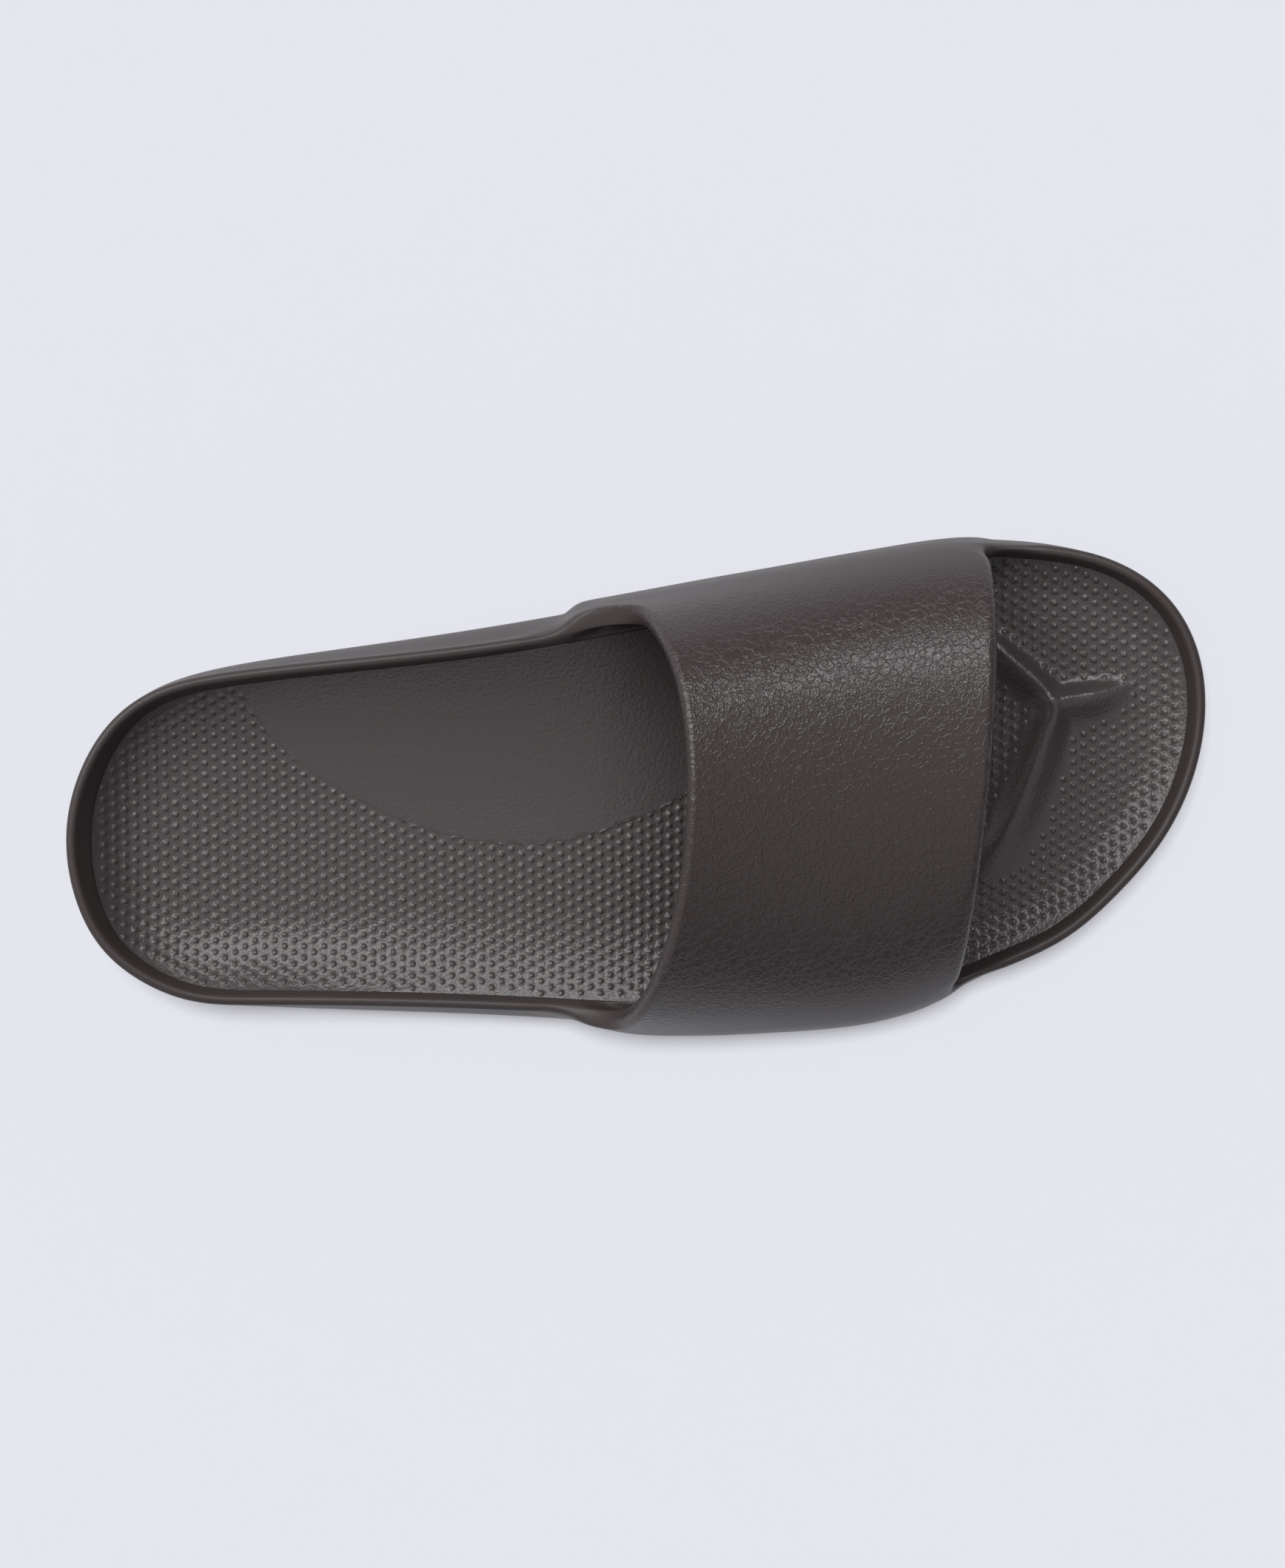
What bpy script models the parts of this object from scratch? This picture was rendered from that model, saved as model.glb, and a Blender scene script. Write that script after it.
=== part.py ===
"""Sport slide sandal for the right foot: strap and midsole moulded whole, footbed, outsole."""

import math
from collections import namedtuple

import bmesh
import bpy
import numpy as np

# Metres. +X is the toe, +Y the big-toe side, +Z up, and z = 0 is the floor.
LENGTH = 0.285
WIDTH = 0.1188

# Heights of the sole
RIM_HEIGHT = 0.038
BED_HEIGHT = 0.024
BED_CUP = 0.012
OUTSOLE_THICKNESS = 0.0045
TOE_SPRING = 0.013
HEEL_BEVEL = 0.005
ARCH_LIFT = 0.0025

# Side wall and rim
SIDE_FLARE = 0.003
SIDE_TUCK = 0.005
EDGE_RADIUS = 0.002
BELLY_HEIGHT = 0.018
RIM_BEAD = 0.003
BEAD_SIDE = 0.0016
BEAD_ROUND = 0.0006
COVE_DEPTH = 0.0005
COVE_DROP = 0.0035
INNER_WALL = 0.003
LEAST_BELLY = 0.006

# Strap
STRAP_WALL = 0.005
STRAP_CROWN_REAR = 0.079
STRAP_CROWN_FRONT = 0.067
STRAP_SADDLE = 0.0025
STRAP_CROWN_SHIFT = 0.006
STRAP_REAR_BOW = 0.017
STRAP_FRONT_BOW = 0.004
STRAP_LIP = 0.002
EAR_STEP = 0.002
REAR_RUN_MEDIAL = 0.015
REAR_RUN_LATERAL = 0.009
REAR_FILLET_RISE = 0.011
FRONT_FILLET_RUN = 0.003
FRONT_FILLET_RISE = 0.004
CORNER_REACH = 0.011
SHOULDER = 0.80

# Footbed insert. Its edge rolls up towards the rim, and the inner wall above it is steep.
BED_THICKNESS = 0.005
ROLL_SLOPE = 0.30
ROLL_REACH = 0.018
EDGE_DROP = 0.002
WALL_STEEPNESS = 1.5
CREST_HEIGHT = 0.0048
CREST_SPREAD = 0.005

# Tread
LUG_COUNT = 21
LUG_DEPTH = 0.0018
LUG_SHARE = 0.62
LUG_DRAFT = 0.0008
LUG_WAVE = 0.0022
WAVE_LENGTH = 0.034
OUTSOLE_INSET = 0.0008

# Clearance between two solids that touch on the real sandal
GAP = 0.0003

# Where the strap's edges rise from the sole, as shares of LENGTH from the heel tip
STRAP_REAR_MEDIAL = 0.503
STRAP_REAR_LATERAL = 0.457
STRAP_FRONT_MEDIAL = 0.820
STRAP_FRONT_LATERAL = 0.755

# A row for each section across the sole, heel to toe. at is a share of LENGTH, medial and
# lateral of half the WIDTH, rim of RIM_HEIGHT, flare of SIDE_FLARE, bed of BED_HEIGHT, cup of
# BED_CUP, tuck of SIDE_TUCK, wall of INNER_WALL and roll of ROLL_REACH. bend is the power by which
# the rolled edge steepens: 2 for a smooth cup, nearer 1 for a ramp.
Section = namedtuple(
    "Section",
    "at medial lateral rim_medial rim_lateral flare_medial flare_lateral "
    "bed cup_medial cup_lateral tuck wall_medial wall_lateral roll bend",
)
SECTIONS = (
    Section(0.000, 0.035, 0.035, 1.00, 1.00, 0.00, 0.00, 1.27, 0.00, 0.00, 1.00, 0.95, 0.95, 0.80, 2.00),
    Section(0.015, 0.355, -0.296, 1.00, 1.00, 0.00, 0.00, 1.18, 0.05, 0.05, 1.00, 0.85, 0.60, 0.80, 2.00),
    Section(0.050, 0.590, -0.495, 0.99, 0.99, 0.05, 0.05, 1.06, 0.15, 0.15, 0.90, 0.60, 0.35, 0.85, 2.00),
    Section(0.100, 0.717, -0.620, 0.97, 0.96, 0.10, 0.30, 1.00, 0.35, 0.25, 0.70, 0.38, 0.28, 0.90, 2.00),
    Section(0.150, 0.747, -0.657, 0.96, 0.93, 0.35, 0.60, 0.99, 0.55, 0.30, 0.55, 0.28, 0.24, 1.00, 2.00),
    Section(0.250, 0.757, -0.709, 1.00, 0.91, 0.75, 0.90, 1.00, 0.90, 0.32, 0.50, 0.20, 0.22, 1.15, 2.00),
    Section(0.400, 0.772, -0.806, 1.05, 0.88, 1.25, 1.00, 1.00, 1.25, 0.28, 0.50, 0.15, 0.22, 1.25, 2.00),
    Section(0.500, 0.808, -0.875, 1.03, 0.87, 1.30, 1.05, 0.96, 1.10, 0.25, 0.50, 0.15, 0.22, 1.25, 2.00),
    Section(0.600, 0.861, -0.914, 0.97, 0.84, 1.10, 0.95, 0.87, 0.60, 0.25, 0.50, 0.20, 0.24, 1.10, 2.00),
    Section(0.680, 0.924, -0.919, 0.91, 0.82, 0.70, 0.90, 0.80, 0.32, 0.25, 0.50, 0.25, 0.25, 0.85, 2.00),
    Section(0.750, 0.975, -0.884, 0.87, 0.82, 0.35, 0.45, 0.78, 0.22, 0.27, 0.55, 0.28, 0.25, 0.65, 1.70),
    Section(0.800, 0.989, -0.816, 0.85, 0.82, 0.20, 0.25, 0.81, 0.22, 0.22, 0.60, 0.30, 0.25, 0.52, 1.45),
    Section(0.860, 0.957, -0.710, 0.85, 0.84, 0.15, 0.15, 0.88, 0.22, 0.20, 0.70, 0.30, 0.26, 0.45, 1.30),
    Section(0.910, 0.898, -0.536, 0.86, 0.87, 0.00, 0.05, 0.96, 0.20, 0.18, 0.85, 0.32, 0.28, 0.45, 1.30),
    Section(0.950, 0.797, -0.346, 0.88, 0.88, 0.00, 0.00, 1.03, 0.12, 0.12, 1.00, 0.36, 0.32, 0.45, 1.30),
    Section(0.985, 0.604, -0.062, 0.89, 0.89, 0.00, 0.00, 1.10, 0.05, 0.05, 1.10, 0.40, 0.38, 0.45, 1.30),
    Section(1.000, 0.293, 0.293, 0.90, 0.90, 0.00, 0.00, 1.13, 0.00, 0.00, 1.15, 0.40, 0.40, 0.45, 1.30),
)

# How far the strap's feet stand out past the flare, as shares of EAR_STEP, rear edge to front
Ear = namedtuple("Ear", "at medial lateral")
EARS = (
    Ear(0.00, 0.0, 0.0),
    Ear(0.04, 1.0, 0.3),
    Ear(0.16, 1.0, 1.0),
    Ear(0.35, 1.0, 1.1),
    Ear(0.75, 0.3, 1.1),
    Ear(0.97, 0.3, 0.8),
    Ear(1.00, 0.0, 0.0),
)

# Ridge lines of the toe crest. along is a share of LENGTH from the heel tip, across of half the
# WIDTH and rise of CREST_HEIGHT. left and right are the widths of the two flanks as shares of
# CREST_SPREAD, seen on the way along the line.
CrestPoint = namedtuple("CrestPoint", "along across rise left right")
CREST_LINES = (
    (
        CrestPoint(0.796, 0.66, 0.0, 0.8, 0.9), CrestPoint(0.827, 0.52, 0.7, 0.6, 0.9),
        CrestPoint(0.868, 0.29, 1.0, 0.6, 0.8), CrestPoint(0.857, 0.12, 1.0, 1.0, 0.7),
        CrestPoint(0.822, -0.22, 0.7, 1.2, 0.8), CrestPoint(0.785, -0.47, 0.0, 1.2, 0.8),
    ),
    (
        CrestPoint(0.868, 0.29, 0.8, 0.5, 1.1), CrestPoint(0.902, 0.30, 1.0, 0.45, 1.1),
        CrestPoint(0.942, 0.31, 0.0, 0.5, 1.0),
    ),
)

# Sine of the arch's angle where the strap leaves the rim
FOOT_SINE = 0.22

# Numbers of faces
HEEL_STEPS = 15
STRAP_STEPS = 14
TOE_STEPS = 12
STRAP_RINGS = 26
BED_COLUMNS = 18
SOLE_COLUMNS = 4
TREAD_COLUMNS = 13
END_RUNGS = 5
LIP_ROWS = 5
CORNER_ROUNDS = 4
EDGE_POINTS = 240
LINE_STEPS = 6


def smoothstep(share):
    """Ease from 0 to 1, held outside that range."""
    share = min(max(share, 0.0), 1.0)
    return share * share * (3.0 - 2.0 * share)


def blend(start, end, share):
    return start + (end - start) * share


def angle_at(x):
    """The angle from the heel tip (0) to the toe tip (pi) whose station lies at x."""
    return math.acos(min(max(-2.0 * x / LENGTH, -1.0), 1.0))


def ring_spline(medial, lateral):
    """A closed smooth curve through a value for each section on both sides.

    It is read by an angle: 0 at the heel tip, pi at the toe tip, negative on the lateral side.
    """
    angles = [math.acos(1.0 - 2.0 * section.at) for section in SECTIONS]
    knots = np.array(angles + [2.0 * math.pi - angle for angle in angles[-2:0:-1]])
    values = np.array(list(medial) + list(lateral)[-2:0:-1])
    count = len(knots)
    steps = np.append(np.diff(knots), knots[0] + 2.0 * math.pi - knots[-1])
    rises = np.roll(values, -1) - values
    matrix = np.zeros((count, count))
    target = np.zeros(count)
    for i in range(count):
        before = steps[i - 1]
        after = steps[i]
        matrix[i, i - 1] += 1.0 / before
        matrix[i, i] += 2.0 / before + 2.0 / after
        matrix[i, (i + 1) % count] += 1.0 / after
        target[i] = 3.0 * (rises[i - 1] / before ** 2 + rises[i] / after ** 2)
    slopes = np.linalg.solve(matrix, target)

    def value(angle):
        turn = angle % (2.0 * math.pi)
        i = int(np.searchsorted(knots, turn, side="right")) - 1
        j = (i + 1) % count
        step = steps[i]
        t = (turn - knots[i]) / step
        start = values[i] * (1.0 + 2.0 * t) * (1.0 - t) ** 2 + values[j] * t * t * (3.0 - 2.0 * t)
        bend = slopes[i] * t * (1.0 - t) ** 2 - slopes[j] * t * t * (1.0 - t)
        return float(start + step * bend)

    return value


def column(medial, lateral, size):
    """One quantity of the section table as a closed curve, scaled by the size it follows."""
    return ring_spline(
        [size * getattr(section, medial) for section in SECTIONS],
        [size * getattr(section, lateral) for section in SECTIONS],
    )


side_line = column("medial", "lateral", WIDTH / 2.0)
rim_line = column("rim_medial", "rim_lateral", RIM_HEIGHT)
flare_line = column("flare_medial", "flare_lateral", SIDE_FLARE)
bed_line = column("bed", "bed", BED_HEIGHT)
cup_line = column("cup_medial", "cup_lateral", BED_CUP)
tuck_line = column("tuck", "tuck", SIDE_TUCK)
wall_line = column("wall_medial", "wall_lateral", INNER_WALL)
roll_line = column("roll", "roll", ROLL_REACH)
bend_line = column("bend", "bend", 1.0)


def outline(angle, offset=0.0):
    """A point in plan on the rim's outer edge, moved outward by offset."""
    small = 0.001
    x = -math.cos(angle) * LENGTH / 2.0
    y = side_line(angle)
    run = math.sin(angle) * LENGTH / 2.0
    rise = (side_line(angle + small) - side_line(angle - small)) / (2.0 * small)
    size = math.hypot(run, rise)
    return x - rise / size * offset, y + run / size * offset


def sole_height(x):
    """Height of the tread's lowest plane at x: flat heel and ball, arch, toe spring, bevel."""
    spring_start = 0.175 * LENGTH
    bevel_start = -0.405 * LENGTH
    arch_start = -0.25 * LENGTH
    arch_end = 0.06 * LENGTH
    if x > spring_start:
        return TOE_SPRING * ((x - spring_start) / (LENGTH / 2.0 - spring_start)) ** 2
    if x < bevel_start:
        return HEEL_BEVEL * ((bevel_start - x) / (bevel_start + LENGTH / 2.0)) ** 2
    if arch_start < x < arch_end:
        return ARCH_LIFT * math.sin(math.pi * (x - arch_start) / (arch_end - arch_start)) ** 2
    return 0.0


def body_bottom(x, y=0.0):
    """Underside of the midsole, above the outsole."""
    return sole_height(x) + OUTSOLE_THICKNESS + GAP


def smooth_line(rows, steps):
    """A dense smooth line through rows of numbers."""
    knots = np.array(rows)
    points = []
    for i in range(len(knots) - 1):
        before = knots[max(i - 1, 0)]
        after = knots[min(i + 2, len(knots) - 1)]
        for t in np.linspace(0.0, 1.0, steps, endpoint=False):
            bend = (knots[i + 1] - before) * (t - 2.0 * t * t + t ** 3)
            bend += (after - knots[i]) * (t ** 3 - t * t)
            points.append(blend(knots[i], knots[i + 1], t * t * (3.0 - 2.0 * t)) + 0.5 * bend)
    return np.array(points + [knots[-1]])


def nearest(line, x, y):
    """Distance from a line in plan, distance to its left, and the line's values at that place."""
    spans = np.diff(line, axis=0)
    runs = spans[:, :2]
    squares = (runs ** 2).sum(axis=1)
    place = np.array([x, y]) - line[:-1, :2]
    shares = np.clip((place * runs).sum(axis=1) / squares, 0.0, 1.0)
    aways = np.linalg.norm(place - runs * shares[:, None], axis=1)
    i = int(np.argmin(aways))
    left = (runs[i, 0] * place[i, 1] - runs[i, 1] * place[i, 0]) / math.sqrt(squares[i])
    return aways[i], left, line[i, 2:] + spans[i, 2:] * shares[i]


def crest_path(points):
    """One ridge line of the crest as a dense smooth line in metres."""
    rows = [((p.along - 0.5) * LENGTH, p.across * WIDTH / 2.0, p.rise, p.left, p.right) for p in points]
    return smooth_line(rows, LINE_STEPS)


def crest_height(x, y):
    """Rise of the toe crest above the dish of the footbed."""
    total = 0.0
    for path in CREST_PATHS:
        away, left, (rise, left_width, right_width) = nearest(path, x, y)
        lean = 0.5 + 0.5 * left / max(away, 1e-9)
        spread = CREST_SPREAD * blend(right_width, left_width, lean)
        total += (rise * math.exp(-(away / spread) ** 2)) ** 3
    return CREST_HEIGHT * total ** (1.0 / 3.0)


def dish_height(x, y):
    """Height of the footbed's top inside its rolled edge: heel cup, arch rise and toe dish."""
    angle = angle_at(x)
    medial = side_line(angle)
    lateral = side_line(-angle)
    half = max((medial - lateral) / 2.0, 1e-6)
    across = (y - (medial + lateral) / 2.0) / half
    cup = cup_line(angle if across > 0.0 else -angle)
    return bed_line(angle) + cup * min(abs(across), 1.0) ** 2.2


def bed_edge(angle):
    """A point in plan where the footbed meets the inner wall."""
    return outline(angle, -RIM_BEAD - wall_line(angle))


def edge_path():
    """The footbed's edge all the way round, with the height, reach and bend of its roll."""
    rows = []
    for k in range(EDGE_POINTS + 1):
        angle = 2.0 * math.pi * k / EDGE_POINTS
        x, y = bed_edge(angle)
        edge = rim_line(angle) - EDGE_DROP - WALL_STEEPNESS * wall_line(angle)
        reach = roll_line(angle)
        rise = min(edge - dish_height(x, y), ROLL_SLOPE * reach)
        rows.append((x, y, rise, reach, bend_line(angle)))
    return np.array(rows)


def roll_height(x, y):
    """Rise of the footbed near its edge."""
    away, left, (rise, reach, bend) = nearest(BED_EDGE, x, y)
    return rise * max(1.0 - away / reach, 0.0) ** bend


def bed_height(x, y):
    """Height of the footbed's top: dish, rolled edge and crest."""
    return dish_height(x, y) + roll_height(x, y) + crest_height(x, y)


def recess_height(x, y):
    """Floor of the recess in the midsole, on which the footbed lies."""
    return bed_height(x, y) - BED_THICKNESS


def edge_base(side, edge):
    """x where the strap's edge would meet the rim without its fillet."""
    shares = {
        (1, "rear"): STRAP_REAR_MEDIAL,
        (-1, "rear"): STRAP_REAR_LATERAL,
        (1, "front"): STRAP_FRONT_MEDIAL,
        (-1, "front"): STRAP_FRONT_LATERAL,
    }
    return (shares[side, edge] - 0.5) * LENGTH


def fillet_run(edge, share):
    """Length of the fillet at the foot of an edge, a share of the way from medial to lateral."""
    if edge == "rear":
        return blend(REAR_RUN_MEDIAL, REAR_RUN_LATERAL, share)
    return FRONT_FILLET_RUN


def strap_foot(side, edge):
    """x where the fillet of the strap's edge runs out on the rim."""
    run = fillet_run(edge, 0.0 if side > 0 else 1.0)
    return edge_base(side, edge) + (-run if edge == "rear" else run)


def strap_shares():
    """Shares across the strap from rear to front, close together at both edges."""
    return [0.5 - 0.5 * math.cos(math.pi * k / STRAP_STEPS) for k in range(STRAP_STEPS + 1)]


def stations(side):
    """Angles of the stations along one side, from the heel tip to the toe tip."""
    rear = strap_foot(side, "rear")
    front = strap_foot(side, "front")
    rear_angle = angle_at(rear)
    front_angle = angle_at(front)
    heel = [rear_angle * (1.0 - (1.0 - k / HEEL_STEPS) ** 1.3) for k in range(HEEL_STEPS)]
    under = [angle_at(blend(rear, front, share)) for share in strap_shares()]
    toe = [blend(front_angle, math.pi, (k / TOE_STEPS) ** 1.2) for k in range(1, TOE_STEPS + 1)]
    return [side * angle for angle in heel + under + toe]


def ear_step(side, share):
    """How far the strap's foot stands out at a share of its width."""
    marks = [ear.at for ear in EARS]
    sizes = [ear.medial if side > 0 else ear.lateral for ear in EARS]
    return EAR_STEP * float(np.interp(share, marks, sizes))


def over(turn):
    """Share of the way over the strap, 0 medial to 1 lateral."""
    return (1.0 - math.cos(turn)) / 2.0


def edge_line(edge, turn):
    """x of the strap's edge in plan, without its fillets: a line between its feet and a bow."""
    bow = STRAP_REAR_BOW if edge == "rear" else STRAP_FRONT_BOW
    line = blend(edge_base(1, edge), edge_base(-1, edge), over(turn))
    return line + bow * (math.sin(turn) - FOOT_SINE) / (1.0 - FOOT_SINE)


def strap_place(x, turn):
    """Share of the way from the strap's rear feet to its front feet."""
    rear = blend(strap_foot(1, "rear"), strap_foot(-1, "rear"), over(turn))
    front = blend(strap_foot(1, "front"), strap_foot(-1, "front"), over(turn))
    return (x - rear) / (front - rear)


def arch_size(place):
    """Height of the strap's crown above the belly of the side wall."""
    top = math.pi / 2.0
    rear = strap_place(edge_line("rear", top), top)
    front = strap_place(edge_line("front", top), top)
    share = (place - rear) / (front - rear)
    crown = blend(STRAP_CROWN_REAR, STRAP_CROWN_FRONT, share)
    return crown - 4.0 * STRAP_SADDLE * share * (1.0 - share) - BELLY_HEIGHT


def arch_angle(place, height):
    """Angle up the strap's arch at which its outer face reaches a height."""
    lift = (height - BELLY_HEIGHT) / arch_size(place)
    return math.asin(min(max(lift, 0.0), 1.0) ** (1.0 / SHOULDER))


def foot_angle(side, place):
    """Station angle of a place along the strap's foot."""
    return side * angle_at(blend(strap_foot(side, "rear"), strap_foot(side, "front"), place))


def arch_point(place, turn):
    """y and z of the strap's outer face; turn runs from 0 (medial) to pi (lateral)."""
    sides = []
    for side in (1, -1):
        angle = foot_angle(side, place)
        sides.append(outline(angle, flare_line(angle) + ear_step(side, place))[1])
    medial, lateral = sides
    y = (medial + lateral) / 2.0 + (medial - lateral) / 2.0 * math.cos(turn)
    y += STRAP_CROWN_SHIFT * math.sin(turn) ** 2
    z = BELLY_HEIGHT + arch_size(place) * max(math.sin(turn), 0.0) ** SHOULDER
    return y, z


def fillet(edge, rise, run):
    """How far the strap's edge still sweeps out over the rim, and how round its lip is."""
    height = REAR_FILLET_RISE if edge == "rear" else FRONT_FILLET_RISE
    share = min(max(rise / height, 0.0), 1.0)
    return run * (1.0 - math.sqrt(1.0 - (1.0 - share) ** 2)), smoothstep(share)


def wall_profile(angle, share=None):
    """Offset and height of each row up the side wall, over the rim bead and down to the bed.

    share is the place across the strap, or None where no strap stands on the rim.
    """
    side = 1 if angle > 0.0 else -1
    rim = rim_line(angle)
    flare = flare_line(angle)
    tuck = tuck_line(angle)
    floor = body_bottom(outline(angle, -tuck - EDGE_RADIUS)[0])
    cove = rim - COVE_DROP
    belly = max(BELLY_HEIGHT, floor + LEAST_BELLY)
    ear = ear_step(side, share) if share is not None else 0.0
    return [
        (-tuck - EDGE_RADIUS + 0.5 * ear, floor),
        (-tuck + 0.8 * ear, floor + 0.4 * EDGE_RADIUS),
        (-0.75 * tuck + 0.1 * flare + ear, floor + EDGE_RADIUS),
        (-0.3 * tuck + 0.7 * flare + ear, blend(floor, belly, 0.5)),
        (flare + ear, belly),
        (0.65 * flare + ear, blend(belly, cove, 0.5)),
        (-COVE_DEPTH + 0.9 * ear, cove),
        (0.0, rim - BEAD_SIDE),
        (-0.15 * RIM_BEAD, rim - BEAD_ROUND),
        (-0.50 * RIM_BEAD, rim),
        (-0.85 * RIM_BEAD, rim - BEAD_ROUND),
        (-RIM_BEAD, rim - BEAD_SIDE),
    ]


SHOULDER_ROW = 5
OUTER_ROW = 6
INNER_ROW = 12


def wall_points(angle, share=None):
    """The points of one station, bottom edge to recess floor."""
    side = 1 if angle > 0.0 else -1
    points = []
    for offset, height in wall_profile(angle, share):
        x, y = outline(angle, offset)
        points.append([x, y, height])
    if share is not None:
        hold = smoothstep(share / 0.04) * smoothstep((1.0 - share) / 0.04)
        for row in (SHOULDER_ROW, OUTER_ROW):
            x, y, height = points[row]
            turn = arch_angle(share, height)
            turn = turn if side > 0 else math.pi - turn
            points[row][1] = blend(y, arch_point(share, turn)[0], hold)
    x, y = bed_edge(angle)
    points.append([x, y, bed_height(x, y)])
    points.append([x, y, recess_height(x, y)])
    return points


def ring_turn(share, eased):
    """Angle over the arch of one point of a ring; near the edges a ring starts higher up."""
    near = max(smoothstep(1.0 - share / 0.14), smoothstep(1.0 - (1.0 - share) / 0.07))
    drop = COVE_DROP * (1.0 - near)
    start = arch_angle(share, rim_line(foot_angle(1, share)) - drop)
    end = math.pi - arch_angle(share, rim_line(foot_angle(-1, share)) - drop)
    return blend(start, end, eased)


def edge_state(edge, eased):
    """Sweep and lip reach of one edge of the strap on a ring."""
    share = 0.0 if edge == "rear" else 1.0
    turn = ring_turn(share, eased)
    place = strap_place(edge_line(edge, turn), turn)
    side = 1 if turn < math.pi / 2.0 else -1
    rise = arch_point(place, turn)[1] - rim_line(foot_angle(side, share))
    sweep, roundness = fillet(edge, rise, fillet_run(edge, over(turn)))
    return sweep, STRAP_LIP * roundness


def strap_ring(step):
    """One closed loop around the strap's wall, a share of the way from medial to lateral."""
    way = step / STRAP_RINGS
    eased = way - 0.9 * math.sin(2.0 * math.pi * way) / (2.0 * math.pi)
    rear_sweep, rear_lip = edge_state("rear", eased)
    front_sweep, front_lip = edge_state("front", eased)
    outer = []
    inner = []
    for share in strap_shares():
        turn = ring_turn(share, eased)
        rear = edge_line("rear", turn) - rear_sweep + rear_lip
        front = edge_line("front", turn) + front_sweep - front_lip
        x = blend(rear, front, share)
        place = strap_place(x, turn)
        y, z = arch_point(place, turn)
        y_next, z_next = arch_point(place, turn + 0.001)
        size = math.hypot(y_next - y, z_next - z)
        out = np.array([0.0, (z_next - z) / size, -(y_next - y) / size])
        outer.append(np.array([x, y, z]))
        inner.append(outer[-1] - out * STRAP_WALL)
    loop = list(outer)
    loop += lip(outer[-1], inner[-1], front_lip)
    loop += inner[::-1]
    loop += lip(inner[0], outer[0], -rear_lip)
    return loop


def lip(start, end, reach):
    """Half-round edge of the strap between its two faces."""
    middle = (start + end) / 2.0
    points = []
    for k in range(1, LIP_ROWS + 1):
        turn = math.pi * k / (LIP_ROWS + 1)
        point = middle + (start - middle) * math.cos(turn)
        point[0] += reach * math.sin(turn)
        points.append(point)
    return points


def stitch(mesh, first, second, closed):
    """Quads between two rows of vertices."""
    count = len(first)
    for i in range(count if closed else count - 1):
        j = (i + 1) % count
        mesh.faces.new((first[i], first[j], second[j], second[i]))


def ladder(mesh, medial, lateral, columns, height):
    """Fill between two sides that share their first and last vertex."""
    rungs = []
    for left, right in zip(medial[1:-1], lateral[1:-1]):
        rung = [left]
        for k in range(1, columns):
            share = 0.5 - 0.5 * math.cos(math.pi * k / columns)
            x, y = left.co.lerp(right.co, blend(k / columns, share, 0.5))[:2]
            rung.append(mesh.verts.new((x, y, height(x, y))))
        rungs.append(rung + [right])
    for tip, rung in ((medial[0], rungs[0]), (medial[-1], rungs[-1])):
        for first, second in zip(rung, rung[1:]):
            mesh.faces.new((tip, first, second))
    for first, second in zip(rungs, rungs[1:]):
        stitch(mesh, first, second, False)


def finish(name, mesh, material):
    """Turn a filled bmesh into an object with its faces out and its own material."""
    bmesh.ops.recalc_face_normals(mesh, faces=mesh.faces)
    data = bpy.data.meshes.new(name)
    mesh.to_mesh(data)
    mesh.free()
    piece = bpy.data.objects.new(name, data)
    bpy.context.scene.collection.objects.link(piece)
    data.materials.append(material)
    data.shade_smooth()
    data.set_sharp_from_angle(angle=math.radians(35.0))
    return piece


def foam(name, color, roughness):
    """Principled material of one moulded piece; color is linear."""
    material = bpy.data.materials.new(name)
    material.use_nodes = True
    shader = material.node_tree.nodes["Principled BSDF"]
    shader.inputs["Base Color"].default_value = (*color, 1.0)
    shader.inputs["Roughness"].default_value = roughness
    shader.inputs["Metallic"].default_value = 0.0
    return material


def side_columns(mesh):
    """Vertices of every station on both sides of the body, sharing the two tips."""
    shares = [None] * HEEL_STEPS + strap_shares() + [None] * TOE_STEPS
    sides = {}
    for side in (1, -1):
        angles = stations(side)
        points = [wall_points(angle, share) for angle, share in zip(angles, shares)]
        sides[side] = [[mesh.verts.new(point) for point in row] for row in points[1:-1]]
        tips = points[0], points[-1]
    heel, toe = ([mesh.verts.new(point) for point in tip] for tip in tips)
    return {side: [heel] + sides[side] + [toe] for side in sides}


def make_upper_and_midsole():
    """Strap, side walls, rim and midsole in one moulding, open front and back and on top."""
    mesh = bmesh.new()
    sides = side_columns(mesh)
    rear = HEEL_STEPS
    front = HEEL_STEPS + STRAP_STEPS
    for side in (1, -1):
        columns = sides[side]
        for i, (first, second) in enumerate(zip(columns, columns[1:])):
            under_strap = rear <= i < front
            if under_strap:
                stitch(mesh, first[:OUTER_ROW + 1], second[:OUTER_ROW + 1], False)
                stitch(mesh, first[INNER_ROW:], second[INNER_ROW:], False)
            else:
                stitch(mesh, first, second, False)
    loops = [rim_loop(sides[1], rear, front)]
    for step in range(1, STRAP_RINGS):
        loops.append([mesh.verts.new(point) for point in strap_ring(step)])
    loops.append(rim_loop(sides[-1], rear, front))
    for first, second in zip(loops, loops[1:]):
        stitch(mesh, first, second, True)
    soften_corners(mesh, sides, loops, (rear, front))
    medial_floor = [column[-1] for column in sides[1]]
    lateral_floor = [column[-1] for column in sides[-1]]
    ladder(mesh, medial_floor, lateral_floor, BED_COLUMNS, recess_height)
    medial_bottom = [column[0] for column in sides[1]]
    lateral_bottom = [column[0] for column in sides[-1]]
    ladder(mesh, medial_bottom, lateral_bottom, SOLE_COLUMNS, body_bottom)
    return finish("upper_and_midsole", mesh, foam("moulded_foam", (0.045, 0.038, 0.037), 0.6))


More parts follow.
